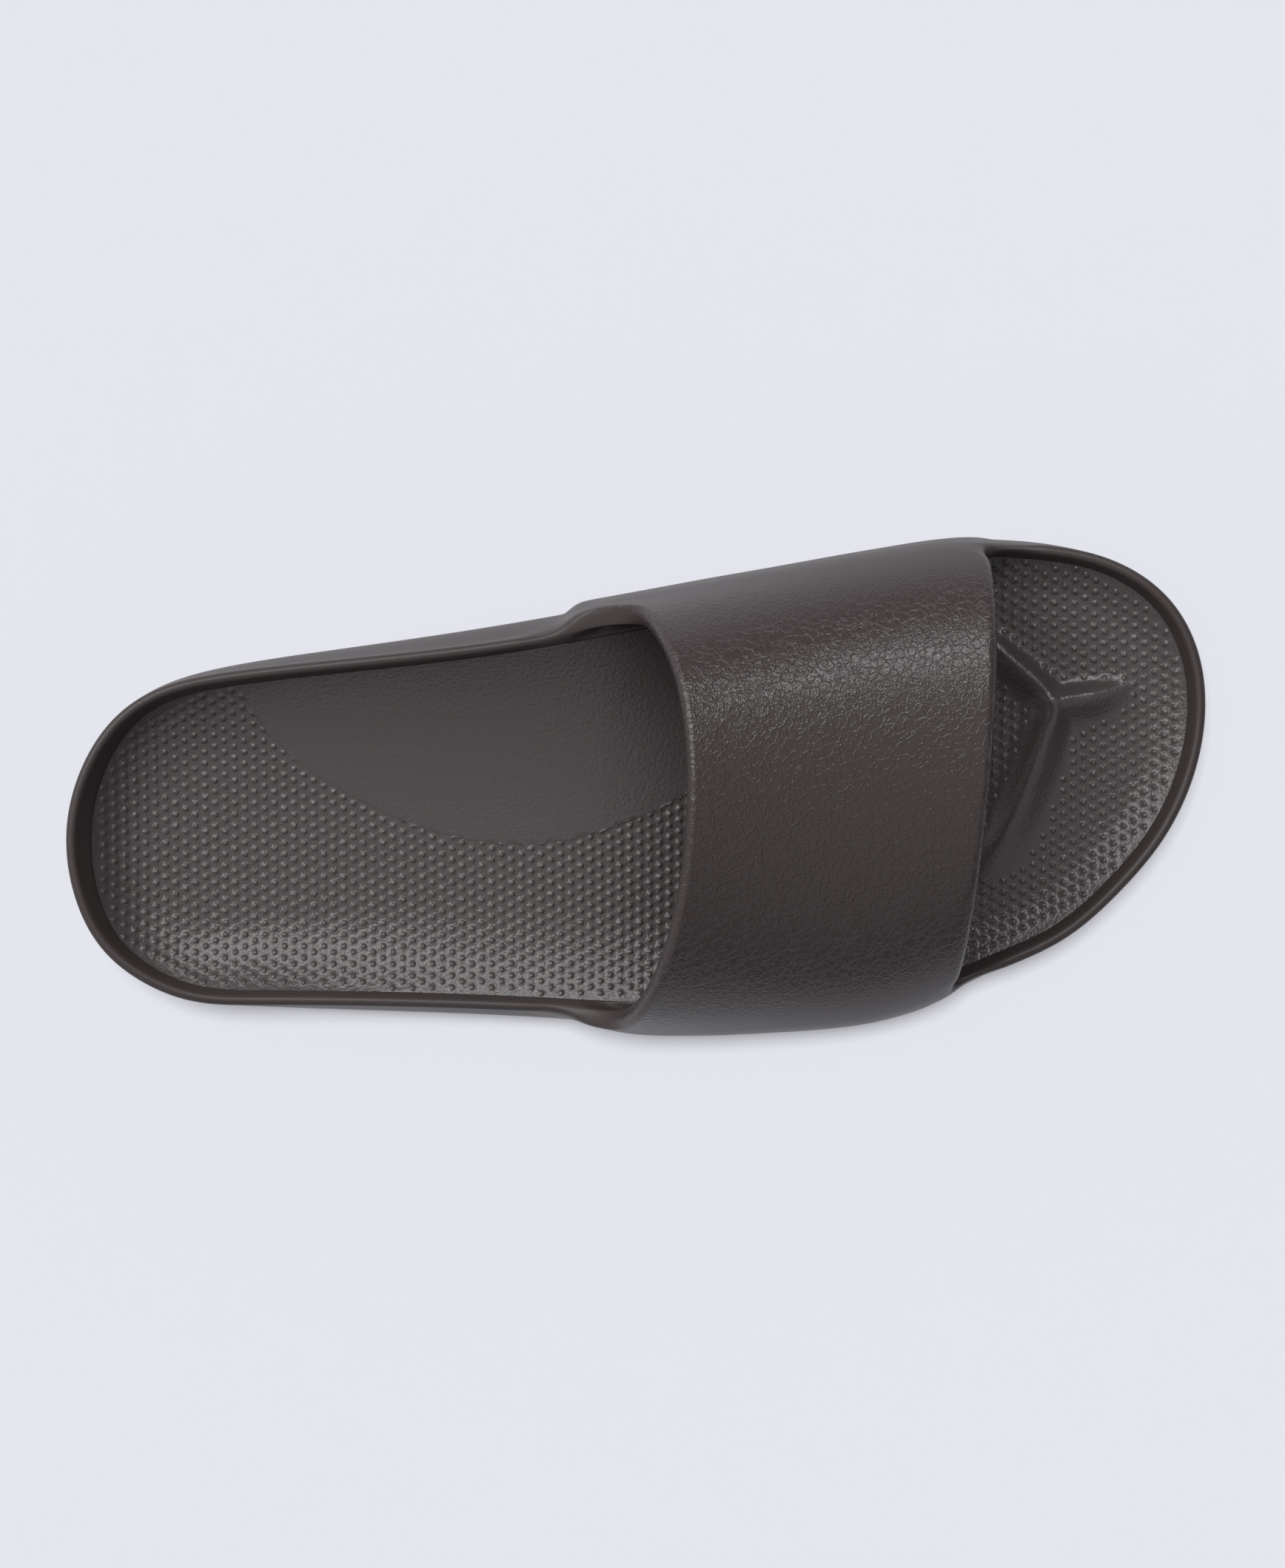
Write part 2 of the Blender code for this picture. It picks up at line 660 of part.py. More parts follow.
def soften_corners(mesh, sides, loops, corners):
    """Ease the rim into the strap around its four feet."""
    movable = set()
    for side in (1, -1):
        for column in sides[side]:
            movable.update(column[SHOULDER_ROW:INNER_ROW])
    for loop in loops[1:-1]:
        movable.update(loop)
    centres = [sides[side][i][INNER_ROW - 4].co.copy() for side in (1, -1) for i in corners]
    near = [v for v in movable if min((v.co - centre).length for centre in centres) < CORNER_REACH]
    axes = {"use_axis_x": True, "use_axis_y": True, "use_axis_z": True}
    for _ in range(CORNER_ROUNDS):
        bmesh.ops.smooth_vert(mesh, verts=near, factor=0.5, **axes)


def rim_loop(columns, rear, front):
    """Loop on the rim from which the strap rises, in the order of a strap ring."""
    loop = [columns[i][OUTER_ROW] for i in range(rear, front + 1)]
    loop += columns[front][OUTER_ROW + 1:INNER_ROW]
    loop += [columns[i][INNER_ROW] for i in range(front, rear - 1, -1)]
    loop += columns[rear][OUTER_ROW + 1:INNER_ROW][::-1]
    return loop


def make_footbed():
    """Insert of even thickness that lies in the recess inside the rim."""
    mesh = bmesh.new()
    rows = {}
    for side in (1, -1):
        top = []
        bottom = []
        for angle in stations(side):
            x, y = outline(angle, -RIM_BEAD - wall_line(angle) - GAP)
            top.append((x, y, bed_height(x, y)))
            bottom.append((x, y, recess_height(x, y) + GAP))
        rows[side, "top"] = top
        rows[side, "bottom"] = bottom
    verts = {}
    for level in ("top", "bottom"):
        medial = [mesh.verts.new(point) for point in rows[1, level]]
        lateral = [mesh.verts.new(point) for point in rows[-1, level][1:-1]]
        verts[1, level] = medial
        verts[-1, level] = [medial[0]] + lateral + [medial[-1]]
    for side in (1, -1):
        stitch(mesh, verts[side, "top"], verts[side, "bottom"], False)
    ladder(mesh, verts[1, "top"], verts[-1, "top"], BED_COLUMNS, bed_height)
    underside = lambda x, y: recess_height(x, y) + GAP
    ladder(mesh, verts[1, "bottom"], verts[-1, "bottom"], BED_COLUMNS, underside)
    return finish("footbed", mesh, foam("footbed_foam", (0.058, 0.048, 0.048), 0.5))


def tread_rungs():
    """x and depth of each row of the tread: smooth ends, then lugs with sloped walls."""
    end = LENGTH / 2.0 - SIDE_TUCK
    smooth = 0.93 * end
    start_angle = math.acos(smooth / end)
    heel = [(-end * math.cos(start_angle * k / END_RUNGS), 0.0) for k in range(1, END_RUNGS)]
    toe = [(-x, depth) for x, depth in heel[::-1]]
    pitch = 2.0 * smooth / LUG_COUNT
    lugs = []
    for k in range(LUG_COUNT):
        x = -smooth + k * pitch
        lugs.append((x, 0.0))
        lugs.append((x + LUG_SHARE * pitch, 0.0))
        if k < LUG_COUNT - 1:
            lugs.append((x + LUG_SHARE * pitch + LUG_DRAFT, LUG_DEPTH))
            lugs.append((x + pitch - LUG_DRAFT, LUG_DEPTH))
    return heel + lugs + toe


def make_outsole():
    """Tread plate under the midsole: wavy lugs across, flat at heel and ball."""
    mesh = bmesh.new()

    def edge(side, x):
        angle = side * angle_at(x)
        return outline(angle, -tuck_line(angle) - OUTSOLE_INSET)

    def wave(y):
        return LUG_WAVE * math.cos(2.0 * math.pi * y / WAVE_LENGTH)

    tops = {1: [], -1: []}
    bottoms = []
    for x, depth in tread_rungs():
        rung = []
        ends = [edge(side, x) for side in (1, -1)]
        fade = smoothstep((LENGTH / 2.0 - abs(x)) / (0.08 * LENGTH))
        for k in range(TREAD_COLUMNS + 1):
            share = k / TREAD_COLUMNS
            along, across = (blend(ends[0][axis], ends[1][axis], share) for axis in (0, 1))
            hold = fade * smoothstep(4.0 * share) * smoothstep(4.0 * (1.0 - share))
            along += hold * wave(across)
            rung.append(mesh.verts.new((along, across, sole_height(along) + depth)))
        bottoms.append(rung)
        for side, point in zip((1, -1), ends):
            height = sole_height(point[0]) + OUTSOLE_THICKNESS
            tops[side].append(mesh.verts.new((*point, height)))
    tips = []
    for angle in (0.0, math.pi):
        x, y = outline(angle, -tuck_line(angle) - OUTSOLE_INSET)
        low = mesh.verts.new((x, y, sole_height(x)))
        high = mesh.verts.new((x, y, sole_height(x) + OUTSOLE_THICKNESS))
        tips.append((low, high))
    for first, second in zip(bottoms, bottoms[1:]):
        stitch(mesh, first, second, False)
    for (low, high), rung, i in ((tips[0], bottoms[0], 0), (tips[1], bottoms[-1], -1)):
        for first, second in zip(rung, rung[1:]):
            mesh.faces.new((low, first, second))
        for side, end in ((1, rung[0]), (-1, rung[-1])):
            mesh.faces.new((low, high, tops[side][i], end))
    for side, place in ((1, 0), (-1, -1)):
        stitch(mesh, [rung[place] for rung in bottoms], tops[side], False)
    medial = [tips[0][1]] + tops[1] + [tips[1][1]]
    lateral = [tips[0][1]] + tops[-1] + [tips[1][1]]
    ladder(mesh, medial, lateral, 1, None)
    return finish("outsole", mesh, foam("outsole_rubber", (0.030, 0.027, 0.027), 0.7))


BED_EDGE = edge_path()
CREST_PATHS = [crest_path(points) for points in CREST_LINES]


def build():
    for item in list(bpy.data.objects):
        bpy.data.objects.remove(item, do_unlink=True)
    make_upper_and_midsole()
    make_footbed()
    make_outsole()


build()
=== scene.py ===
"""Sport slide sandal for the right foot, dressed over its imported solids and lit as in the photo."""

import math
from collections import namedtuple
from functools import partial

import bmesh
import bpy
import numpy as np
from bpy.props import FloatProperty, FloatVectorProperty, PointerProperty
from mathutils import Matrix, Vector
from mathutils.geometry import delaunay_2d_cdt


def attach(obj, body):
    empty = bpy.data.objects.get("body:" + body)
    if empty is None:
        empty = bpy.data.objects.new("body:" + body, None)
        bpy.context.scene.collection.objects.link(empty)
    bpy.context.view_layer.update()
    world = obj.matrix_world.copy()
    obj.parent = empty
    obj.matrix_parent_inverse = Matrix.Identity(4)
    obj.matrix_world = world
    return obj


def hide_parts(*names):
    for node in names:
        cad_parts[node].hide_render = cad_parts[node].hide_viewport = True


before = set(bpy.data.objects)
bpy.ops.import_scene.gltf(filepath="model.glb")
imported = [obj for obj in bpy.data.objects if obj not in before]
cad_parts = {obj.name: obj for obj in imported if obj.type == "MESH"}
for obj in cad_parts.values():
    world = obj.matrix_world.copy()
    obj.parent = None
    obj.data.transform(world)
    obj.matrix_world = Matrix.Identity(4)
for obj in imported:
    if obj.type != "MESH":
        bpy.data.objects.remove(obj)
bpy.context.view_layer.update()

bl_info = {
    "name": "Sport Slide Sandal",
    "version": (1, 0, 0),
    "blender": (4, 5, 0),
    "location": "3D View > Sidebar > Slide",
    "description": "Moulded foam slide sandal with a nubbed footbed",
    "category": "Add Mesh",
}


def table(columns, *rows):
    """Rows of values with named columns."""
    kind = namedtuple("Row", columns)
    return [kind(*row) for row in rows]


# Metres. +X is the toe, +Y the big-toe side, +Z up, and z = 0 is the floor.

# Lesser sizes of the sole
BED_CUP = 0.012
CUP_POWER = 2.2
OUTSOLE_THICKNESS = 0.0045
TOE_SPRING = 0.013
HEEL_BEVEL = 0.005
ARCH_LIFT = 0.0025
SIDE_FLARE = 0.003
SIDE_TUCK = 0.005
EDGE_RADIUS = 0.002
BELLY_HEIGHT = 0.018
COVE_DEPTH = 0.0005
COVE_DROP = 0.0035
INNER_WALL = 0.003
BEAD_SIDE = 0.0016
BEAD_ROUND = 0.0006
LEAST_BELLY = 0.006
BED_THICKNESS = 0.005
ROLL_SLOPE = 0.30
ROLL_REACH = 0.018
EDGE_DROP = 0.002
WALL_STEEPNESS = 1.5
GAP = 0.0003

# Where the heel bevel, the arch and the toe spring of the sole lie, as shares of the length from
# the middle of the shoe
BEVEL_START = -0.405
ARCH_START = -0.25
ARCH_END = 0.06
SPRING_START = 0.175

# Lesser sizes of the strap
STRAP_SADDLE = 0.0025
STRAP_CROWN_SHIFT = 0.006
STRAP_BOW = {"rear": 0.017, "front": 0.004}
STRAP_LIP = 0.002
EAR_STEP = 0.002
REAR_RUN_MEDIAL = 0.015
REAR_RUN_LATERAL = 0.009
FRONT_RUN = 0.003
FILLET_RISE = {"rear": 0.011, "front": 0.004}
CORNER_REACH = 0.011
SHOULDER = 0.80
# Sine of the arch's angle where the strap leaves the rim
FOOT_SINE = 0.22
# Shares of the strap's width over which its feet ease into the wall, and over which a ring starts
# higher up at the rear and at the front edge
FOOT_EASE = 0.04
RING_REAR = 0.14
RING_FRONT = 0.07
# How far the rings are drawn together at the strap's feet
RING_EASE = 0.9

# Where the strap's edges rise from the sole, as shares of the length from the heel tip
EDGES = ("rear", "front")
STRAP_BASE = {(1, "rear"): 0.503, (-1, "rear"): 0.457, (1, "front"): 0.820, (-1, "front"): 0.755}

# A row for each section across the sole, heel to toe. at is a share of the length, medial and
# lateral of half the width, rim of the rim height, flare of SIDE_FLARE, bed of the bed height,
# cup of BED_CUP, tuck of SIDE_TUCK, wall of INNER_WALL and roll of ROLL_REACH. bend is the power
# by which the rolled edge steepens: 2 for a smooth cup, nearer 1 for a ramp.
SECTIONS = table(
    "at medial lateral rim_medial rim_lateral flare_medial flare_lateral "
    "bed cup_medial cup_lateral tuck wall_medial wall_lateral roll bend",
    (0.000, 0.035, 0.035, 1.00, 1.00, 0.00, 0.00, 1.27, 0.00, 0.00, 1.00, 0.95, 0.95, 0.80, 2.00),
    (0.015, 0.355, -0.296, 1.00, 1.00, 0.00, 0.00, 1.18, 0.05, 0.05, 1.00, 0.85, 0.60, 0.80, 2.00),
    (0.050, 0.590, -0.495, 0.99, 0.99, 0.05, 0.05, 1.06, 0.15, 0.15, 0.90, 0.60, 0.35, 0.85, 2.00),
    (0.100, 0.717, -0.620, 0.97, 0.96, 0.10, 0.30, 1.00, 0.35, 0.25, 0.70, 0.38, 0.28, 0.90, 2.00),
    (0.150, 0.747, -0.657, 0.96, 0.93, 0.35, 0.60, 0.99, 0.55, 0.30, 0.55, 0.28, 0.24, 1.00, 2.00),
    (0.250, 0.757, -0.709, 1.00, 0.91, 0.75, 0.90, 1.00, 0.90, 0.32, 0.50, 0.20, 0.22, 1.15, 2.00),
    (0.400, 0.772, -0.806, 1.05, 0.88, 1.25, 1.00, 1.00, 1.25, 0.28, 0.50, 0.15, 0.22, 1.25, 2.00),
    (0.500, 0.808, -0.875, 1.03, 0.87, 1.30, 1.05, 0.96, 1.10, 0.25, 0.50, 0.15, 0.22, 1.25, 2.00),
    (0.600, 0.861, -0.914, 0.97, 0.84, 1.10, 0.95, 0.87, 0.60, 0.25, 0.50, 0.20, 0.24, 1.10, 2.00),
    (0.680, 0.924, -0.919, 0.91, 0.82, 0.70, 0.90, 0.80, 0.32, 0.25, 0.50, 0.25, 0.25, 0.85, 2.00),
    (0.750, 0.975, -0.884, 0.87, 0.82, 0.35, 0.45, 0.78, 0.22, 0.27, 0.55, 0.28, 0.25, 0.65, 1.70),
    (0.800, 0.989, -0.816, 0.85, 0.82, 0.20, 0.25, 0.81, 0.22, 0.22, 0.60, 0.30, 0.25, 0.52, 1.45),
    (0.860, 0.957, -0.710, 0.85, 0.84, 0.15, 0.15, 0.88, 0.22, 0.20, 0.70, 0.30, 0.26, 0.45, 1.30),
    (0.910, 0.898, -0.536, 0.86, 0.87, 0.00, 0.05, 0.96, 0.20, 0.18, 0.85, 0.32, 0.28, 0.45, 1.30),
    (0.950, 0.797, -0.346, 0.88, 0.88, 0.00, 0.00, 1.03, 0.12, 0.12, 1.00, 0.36, 0.32, 0.45, 1.30),
    (0.985, 0.604, -0.062, 0.89, 0.89, 0.00, 0.00, 1.10, 0.05, 0.05, 1.10, 0.40, 0.38, 0.45, 1.30),
    (1.000, 0.293, 0.293, 0.90, 0.90, 0.00, 0.00, 1.13, 0.00, 0.00, 1.15, 0.40, 0.40, 0.45, 1.30),
)

# How far the strap's feet stand out past the flare, as shares of EAR_STEP, rear edge to front
EARS = table(
    "at medial lateral",
    (0.00, 0.0, 0.0),
    (0.04, 1.0, 0.3),
    (0.16, 1.0, 1.0),
    (0.35, 1.0, 1.1),
    (0.75, 0.3, 1.1),
    (0.97, 0.3, 0.8),
    (1.00, 0.0, 0.0),
)

# Ridge lines of the toe crest. along is a share of the length from the heel tip, across of half the
# width and rise of CREST_HEIGHT. left and right are the widths of the two flanks as shares of
# CREST_SPREAD, seen on the way along the line.
CREST_HEIGHT = 0.0048
CREST_SPREAD = 0.005
CREST_COLUMNS = "along across rise left right"
CREST_LINES = (
    table(
        CREST_COLUMNS,
        (0.796, 0.66, 0.0, 0.8, 0.9), (0.827, 0.52, 0.7, 0.6, 0.9),
        (0.868, 0.29, 1.0, 0.6, 0.8), (0.857, 0.12, 1.0, 1.0, 0.7),
        (0.822, -0.22, 0.7, 1.2, 0.8), (0.785, -0.47, 0.0, 1.2, 0.8),
    ),
    table(
        CREST_COLUMNS,
        (0.868, 0.29, 0.8, 0.5, 1.1), (0.902, 0.30, 1.0, 0.45, 1.1),
        (0.942, 0.31, 0.0, 0.5, 1.0),
    ),
)

# Edge of the smooth arch pad, from the medial rim behind the arch to the rim under the strap.
# along is a share of the length from the middle, across of half the width.
PAD_EDGE = table(
    "along across",
    (-0.3450, 0.760),
    (-0.3365, 0.680),
    (-0.3168, 0.471),
    (-0.2793, 0.274),
    (-0.2277, 0.101),
    (-0.1751, -0.024),
    (-0.1218, -0.088),
    (-0.0670, -0.098),
    (-0.0109, -0.049),
    (0.0407, 0.045),
    (0.0900, 0.190),
    (0.1350, 0.400),
    (0.1700, 0.640),
    (0.1900, 0.900),
)
PAD_RISE = 0.0002
PAD_EDGE_WIDTH = 0.00025

# Shares of the crest height between which the nubs fade away up the crest
BARE_START = 0.10
BARE_BLEND = 0.03

# The insert is drawn almost up to the wall, because the photo shows no line between them.
SEEN_GAP = 0.00004

# Least distances of the insert's points: from its edge, from the pad's edge as a share of that
# edge's width, and from the insert's edge to a nub's centre as a share of the nub's radius
POINT_MARGIN = 0.00012
PAD_CLEAR = 0.8
NUB_CLEAR = 0.4

# Rows up the side wall: where the strap's wall starts to lean, and where it leaves the rim
SHOULDER_ROW = 5
OUTER_ROW = 6
INNER_ROW = 12

# Numbers of faces, and of points on a line
HEEL_STEPS = 26
STRAP_STEPS = 24
TOE_STEPS = 22
STRAP_RINGS = 44
BED_COLUMNS = 24
SOLE_COLUMNS = 3
LIP_ROWS = 5
CORNER_ROUNDS = 11
EDGE_POINTS = 240
RIM_POINTS = 440
SIDE_POINTS = 600
LINE_STEPS = 8
SMOOTH_LEVELS = 2
POINT_PARTS = 60

# Powers that draw the stations together towards the strap
HEEL_SPACING = 1.3
TOE_SPACING = 1.2
# Small step of an angle, from which slopes are taken
ANGLE_STEP = 0.001
# For the triangulation: only faces inside the outline, and how near two points are one
INSIDE_ONLY = 1
SAME_POINT = 1e-7


def linear(code):
    """Linear colour of an sRGB hex code."""
    channels = [int(code[i:i + 2], 16) / 255.0 for i in (1, 3, 5)]
    return [c / 12.92 if c <= 0.04045 else ((c + 0.055) / 1.055) ** 2.4 for c in channels]


def smoothstep(share):
    """Ease from 0 to 1, held outside that range."""
    share = np.clip(share, 0.0, 1.0)
    return share * share * (3.0 - 2.0 * share)


def blend(start, end, share):
    return start + (end - start) * share


def ring_spline(medial, lateral):
    """A closed smooth curve through a value for each section on both sides.

    It is read by an angle: 0 at the heel tip, pi at the toe tip, negative on the lateral side.
    """
    angles = [math.acos(1.0 - 2.0 * section.at) for section in SECTIONS]
    knots = np.array(angles + [2.0 * math.pi - angle for angle in angles[-2:0:-1]])
    values = np.array(list(medial) + list(lateral)[-2:0:-1])
    count = len(knots)
    steps = np.append(np.diff(knots), knots[0] + 2.0 * math.pi - knots[-1])
    rises = np.roll(values, -1) - values
    matrix = np.zeros((count, count))
    target = np.zeros(count)
    for i in range(count):
        before, after = steps[i - 1], steps[i]
        matrix[i, i - 1] += 1.0 / before
        matrix[i, i] += 2.0 / before + 2.0 / after
        matrix[i, (i + 1) % count] += 1.0 / after
        target[i] = 3.0 * (rises[i - 1] / before ** 2 + rises[i] / after ** 2)
    slopes = np.linalg.solve(matrix, target)

    def value(angle):
        turn = np.mod(angle, 2.0 * math.pi)
        i = np.searchsorted(knots, turn, side="right") - 1
        j = (i + 1) % count
        t = (turn - knots[i]) / steps[i]
        start = values[i] * (1.0 + 2.0 * t) * (1.0 - t) ** 2 + values[j] * t * t * (3.0 - 2.0 * t)
        bend = slopes[i] * t * (1.0 - t) ** 2 - slopes[j] * t * t * (1.0 - t)
        return start + steps[i] * bend

    return value


def smooth_line(rows):
    """A dense smooth line through rows of numbers."""
    knots = np.array(rows)
    points = []
    for i in range(len(knots) - 1):
        before = knots[max(i - 1, 0)]
        after = knots[min(i + 2, len(knots) - 1)]
        for t in np.linspace(0.0, 1.0, LINE_STEPS, endpoint=False):
            bend = (knots[i + 1] - before) * (t - 2.0 * t * t + t ** 3)
            bend += (after - knots[i]) * (t ** 3 - t * t)
            points.append(blend(knots[i], knots[i + 1], t * t * (3.0 - 2.0 * t)) + 0.5 * bend)
    return np.array(points + [knots[-1]])


def nearest(line, x, y):
    """Distance from a line in plan, distance to its left, and the line's values at that place."""
    spans = np.diff(line, axis=0)
    runs = spans[:, :2]
    squares = (runs ** 2).sum(axis=-1)
    place = np.stack([x, y], axis=-1)[..., None, :] - line[:-1, :2]
    shares = np.clip((place * runs).sum(axis=-1) / squares, 0.0, 1.0)
    aways = np.linalg.norm(place - runs * shares[..., None], axis=-1)
    lefts = (runs[:, 0] * place[..., 1] - runs[:, 1] * place[..., 0]) / np.sqrt(squares)
    i = np.argmin(aways, axis=-1)
    share, away, left = (
        np.take_along_axis(table, i[..., None], -1)[..., 0] for table in (shares, aways, lefts)
    )
    values = line[i, 2:] + spans[i, 2:] * share[..., None]
    return away, left, np.moveaxis(values, -1, 0)


def turned(x, y, angle):
    """Points in plan, turned clockwise about the origin."""
    return x * math.cos(angle) + y * math.sin(angle), -x * math.sin(angle) + y * math.cos(angle)


def in_parts(function, x, y):
    """Call a function of many points a part at a time, to keep its tables small."""
    parts = np.array_split(np.column_stack([x, y]), POINT_PARTS)
    return np.concatenate([function(*part.T) for part in parts])


class SlideShape:
    """Every line and height of the sandal, worked out from its sizes."""

    def __init__(self, sizes):
        self.sizes = sizes
        self.length = sizes.length
        self.half_width = sizes.width / 2.0
        self.side = self.column("medial", "lateral", self.half_width)
        self.rim = self.column("rim_medial", "rim_lateral", sizes.rim_height)
        self.flare = self.column("flare_medial", "flare_lateral", SIDE_FLARE)
        self.bed = self.column("bed", "bed", sizes.bed_height)
        self.cup = self.column("cup_medial", "cup_lateral", BED_CUP)
        self.tuck = self.column("tuck", "tuck", SIDE_TUCK)
        self.wall = self.column("wall_medial", "wall_lateral", INNER_WALL)
        self.roll_reach = self.column("roll", "roll", ROLL_REACH)
        self.roll_bend = self.column("bend", "bend", 1.0)
        angles = np.linspace(0.0, 2.0 * math.pi, EDGE_POINTS + 1)
        x, y = self.bed_edge(angles)
        edge = self.rim(angles) - EDGE_DROP - WALL_STEEPNESS * self.wall(angles)
        reach = self.roll_reach(angles)
        rise = np.minimum(edge - self.dish(x, y), ROLL_SLOPE * reach)
        self.edge_path = np.column_stack([x, y, rise, reach, self.roll_bend(angles)])
        self.crest_paths = [self.crest_path(points) for points in CREST_LINES]

    @staticmethod
    def column(medial, lateral, size):
        """One quantity of the section table as a closed curve, scaled by the size it follows."""
        rows = [[size * getattr(section, name) for section in SECTIONS] for name in (medial, lateral)]
        return ring_spline(*rows)

    def angle_at(self, x):
        """The angle from the heel tip (0) to the toe tip (pi) whose station lies at x."""
        return np.arccos(np.clip(-2.0 * x / self.length, -1.0, 1.0))

    def outline(self, angle, offset=0.0):
        """A point in plan on the rim's outer edge, moved outward by offset."""
        run = np.sin(angle) * self.length / 2.0
        rise = (self.side(angle + ANGLE_STEP) - self.side(angle - ANGLE_STEP)) / (2.0 * ANGLE_STEP)
        size = np.hypot(run, rise)
        x = -np.cos(angle) * self.length / 2.0
        return x - rise / size * offset, self.side(angle) + run / size * offset

    def sole_height(self, x):
        """Height of the tread's lowest plane at x: flat heel and ball, arch, toe spring, bevel."""
        spring_start, bevel_start = SPRING_START * self.length, BEVEL_START * self.length
        arch_start, arch_end = ARCH_START * self.length, ARCH_END * self.length
        end = self.length / 2.0
        if x > spring_start:
            return TOE_SPRING * ((x - spring_start) / (end - spring_start)) ** 2
        if x < bevel_start:
            return HEEL_BEVEL * ((bevel_start - x) / (bevel_start + end)) ** 2
        if arch_start < x < arch_end:
            return ARCH_LIFT * math.sin(math.pi * (x - arch_start) / (arch_end - arch_start)) ** 2
        return 0.0

    def body_bottom(self, x, y=0.0):
        """Underside of the midsole, above the outsole."""
        return self.sole_height(x) + OUTSOLE_THICKNESS + GAP

    def crest_path(self, points):
        """One ridge line of the crest as a dense smooth line in metres."""
        rows = [
            ((p.along - 0.5) * self.length, p.across * self.half_width, p.rise, p.left, p.right)
            for p in points
        ]
        return smooth_line(rows)

    def crest(self, x, y):
        """Rise of the toe crest above the dish of the footbed."""
        total = 0.0
        for path in self.crest_paths:
            away, left, (rise, left_width, right_width) = nearest(path, x, y)
            lean = 0.5 + 0.5 * left / np.maximum(away, 1e-9)
            spread = CREST_SPREAD * blend(right_width, left_width, lean)
            total = total + (rise * np.exp(-(away / spread) ** 2)) ** 3
        return CREST_HEIGHT * np.cbrt(total)

    def dish(self, x, y):
        """Height of the footbed's top without the toe crest: heel cup, arch rise, toe dish."""
        angle = self.angle_at(x)
        medial, lateral = self.side(angle), self.side(-angle)
        half = np.maximum((medial - lateral) / 2.0, 1e-6)
        across = (y - (medial + lateral) / 2.0) / half
        cup = np.where(across > 0.0, self.cup(angle), self.cup(-angle))
        return self.bed(angle) + cup * np.minimum(np.abs(across), 1.0) ** CUP_POWER

    def bed_edge(self, angle, inward=0.0):
        """A point in plan where the footbed meets the inner wall, or further in."""
        return self.outline(angle, -self.sizes.rim_bead - self.wall(angle) - inward)

    def roll(self, x, y):
        """Rise of the footbed near its edge."""
        away, _, (rise, reach, bend) = nearest(self.edge_path, x, y)
        return rise * np.maximum(1.0 - away / reach, 0.0) ** bend

    def bed_height(self, x, y):
        """Height of the footbed's top: dish, rolled edge and crest."""
        return self.dish(x, y) + self.roll(x, y) + self.crest(x, y)

    def edge_base(self, side, edge):
        """x where the strap's edge would meet the rim without its fillet."""
        return (STRAP_BASE[side, edge] - 0.5) * self.length

    def strap_foot(self, side, edge):
        """x where the fillet of the strap's edge runs out on the rim."""
        run = fillet_run(edge, 0.0 if side > 0 else 1.0)
        return self.edge_base(side, edge) + (-run if edge == "rear" else run)

    def feet(self, side):
        """x of the strap's rear and front foot on one side."""
        return [self.strap_foot(side, edge) for edge in EDGES]

    def stations(self, side):
        """Angles of the stations along one side, from the heel tip to the toe tip."""
        rear, front = self.feet(side)
        rear_angle, front_angle = self.angle_at(rear), self.angle_at(front)
        heel = [rear_angle * (1.0 - (1.0 - k / HEEL_STEPS) ** HEEL_SPACING) for k in range(HEEL_STEPS)]
        under = [self.angle_at(blend(rear, front, share)) for share in strap_shares()]
        ahead = [(k / TOE_STEPS) ** TOE_SPACING for k in range(1, TOE_STEPS + 1)]
        toe = [blend(front_angle, math.pi, share) for share in ahead]
        return [side * angle for angle in heel + under + toe]

    def edge_line(self, edge, turn):
        """x of the strap's edge in plan, without its fillets: a line between its feet and a bow."""
        line = blend(self.edge_base(1, edge), self.edge_base(-1, edge), over(turn))
        return line + STRAP_BOW[edge] * (math.sin(turn) - FOOT_SINE) / (1.0 - FOOT_SINE)

    def strap_place(self, x, turn):
        """Share of the way from the strap's rear feet to its front feet."""
        rear, front = (blend(*ends, over(turn)) for ends in zip(self.feet(1), self.feet(-1)))
        return (x - rear) / (front - rear)

    def arch_size(self, place):
        """Height of the strap's crown above the belly of the side wall."""
        top = math.pi / 2.0
        rear, front = (self.strap_place(self.edge_line(edge, top), top) for edge in EDGES)
        share = (place - rear) / (front - rear)
        crown = blend(self.sizes.crown_rear, self.sizes.crown_front, share)
        return crown - 4.0 * STRAP_SADDLE * share * (1.0 - share) - BELLY_HEIGHT

    def arch_angle(self, place, height):
        """Angle up the strap's arch at which its outer face reaches a height."""
        lift = (height - BELLY_HEIGHT) / self.arch_size(place)
        return math.asin(min(max(lift, 0.0), 1.0) ** (1.0 / SHOULDER))

    def foot_angle(self, side, place):
        """Station angle of a place along the strap's foot."""
        return side * self.angle_at(blend(*self.feet(side), place))

    def arch_point(self, place, turn):
        """y and z of the strap's outer face; turn runs from 0 (medial) to pi (lateral)."""
        sides = []
        for side in (1, -1):
            angle = self.foot_angle(side, place)
            sides.append(self.outline(angle, self.flare(angle) + ear_step(side, place))[1])
        medial, lateral = sides
        y = (medial + lateral) / 2.0 + (medial - lateral) / 2.0 * math.cos(turn)
        y += STRAP_CROWN_SHIFT * math.sin(turn) ** 2
        z = BELLY_HEIGHT + self.arch_size(place) * max(math.sin(turn), 0.0) ** SHOULDER
        return y, z

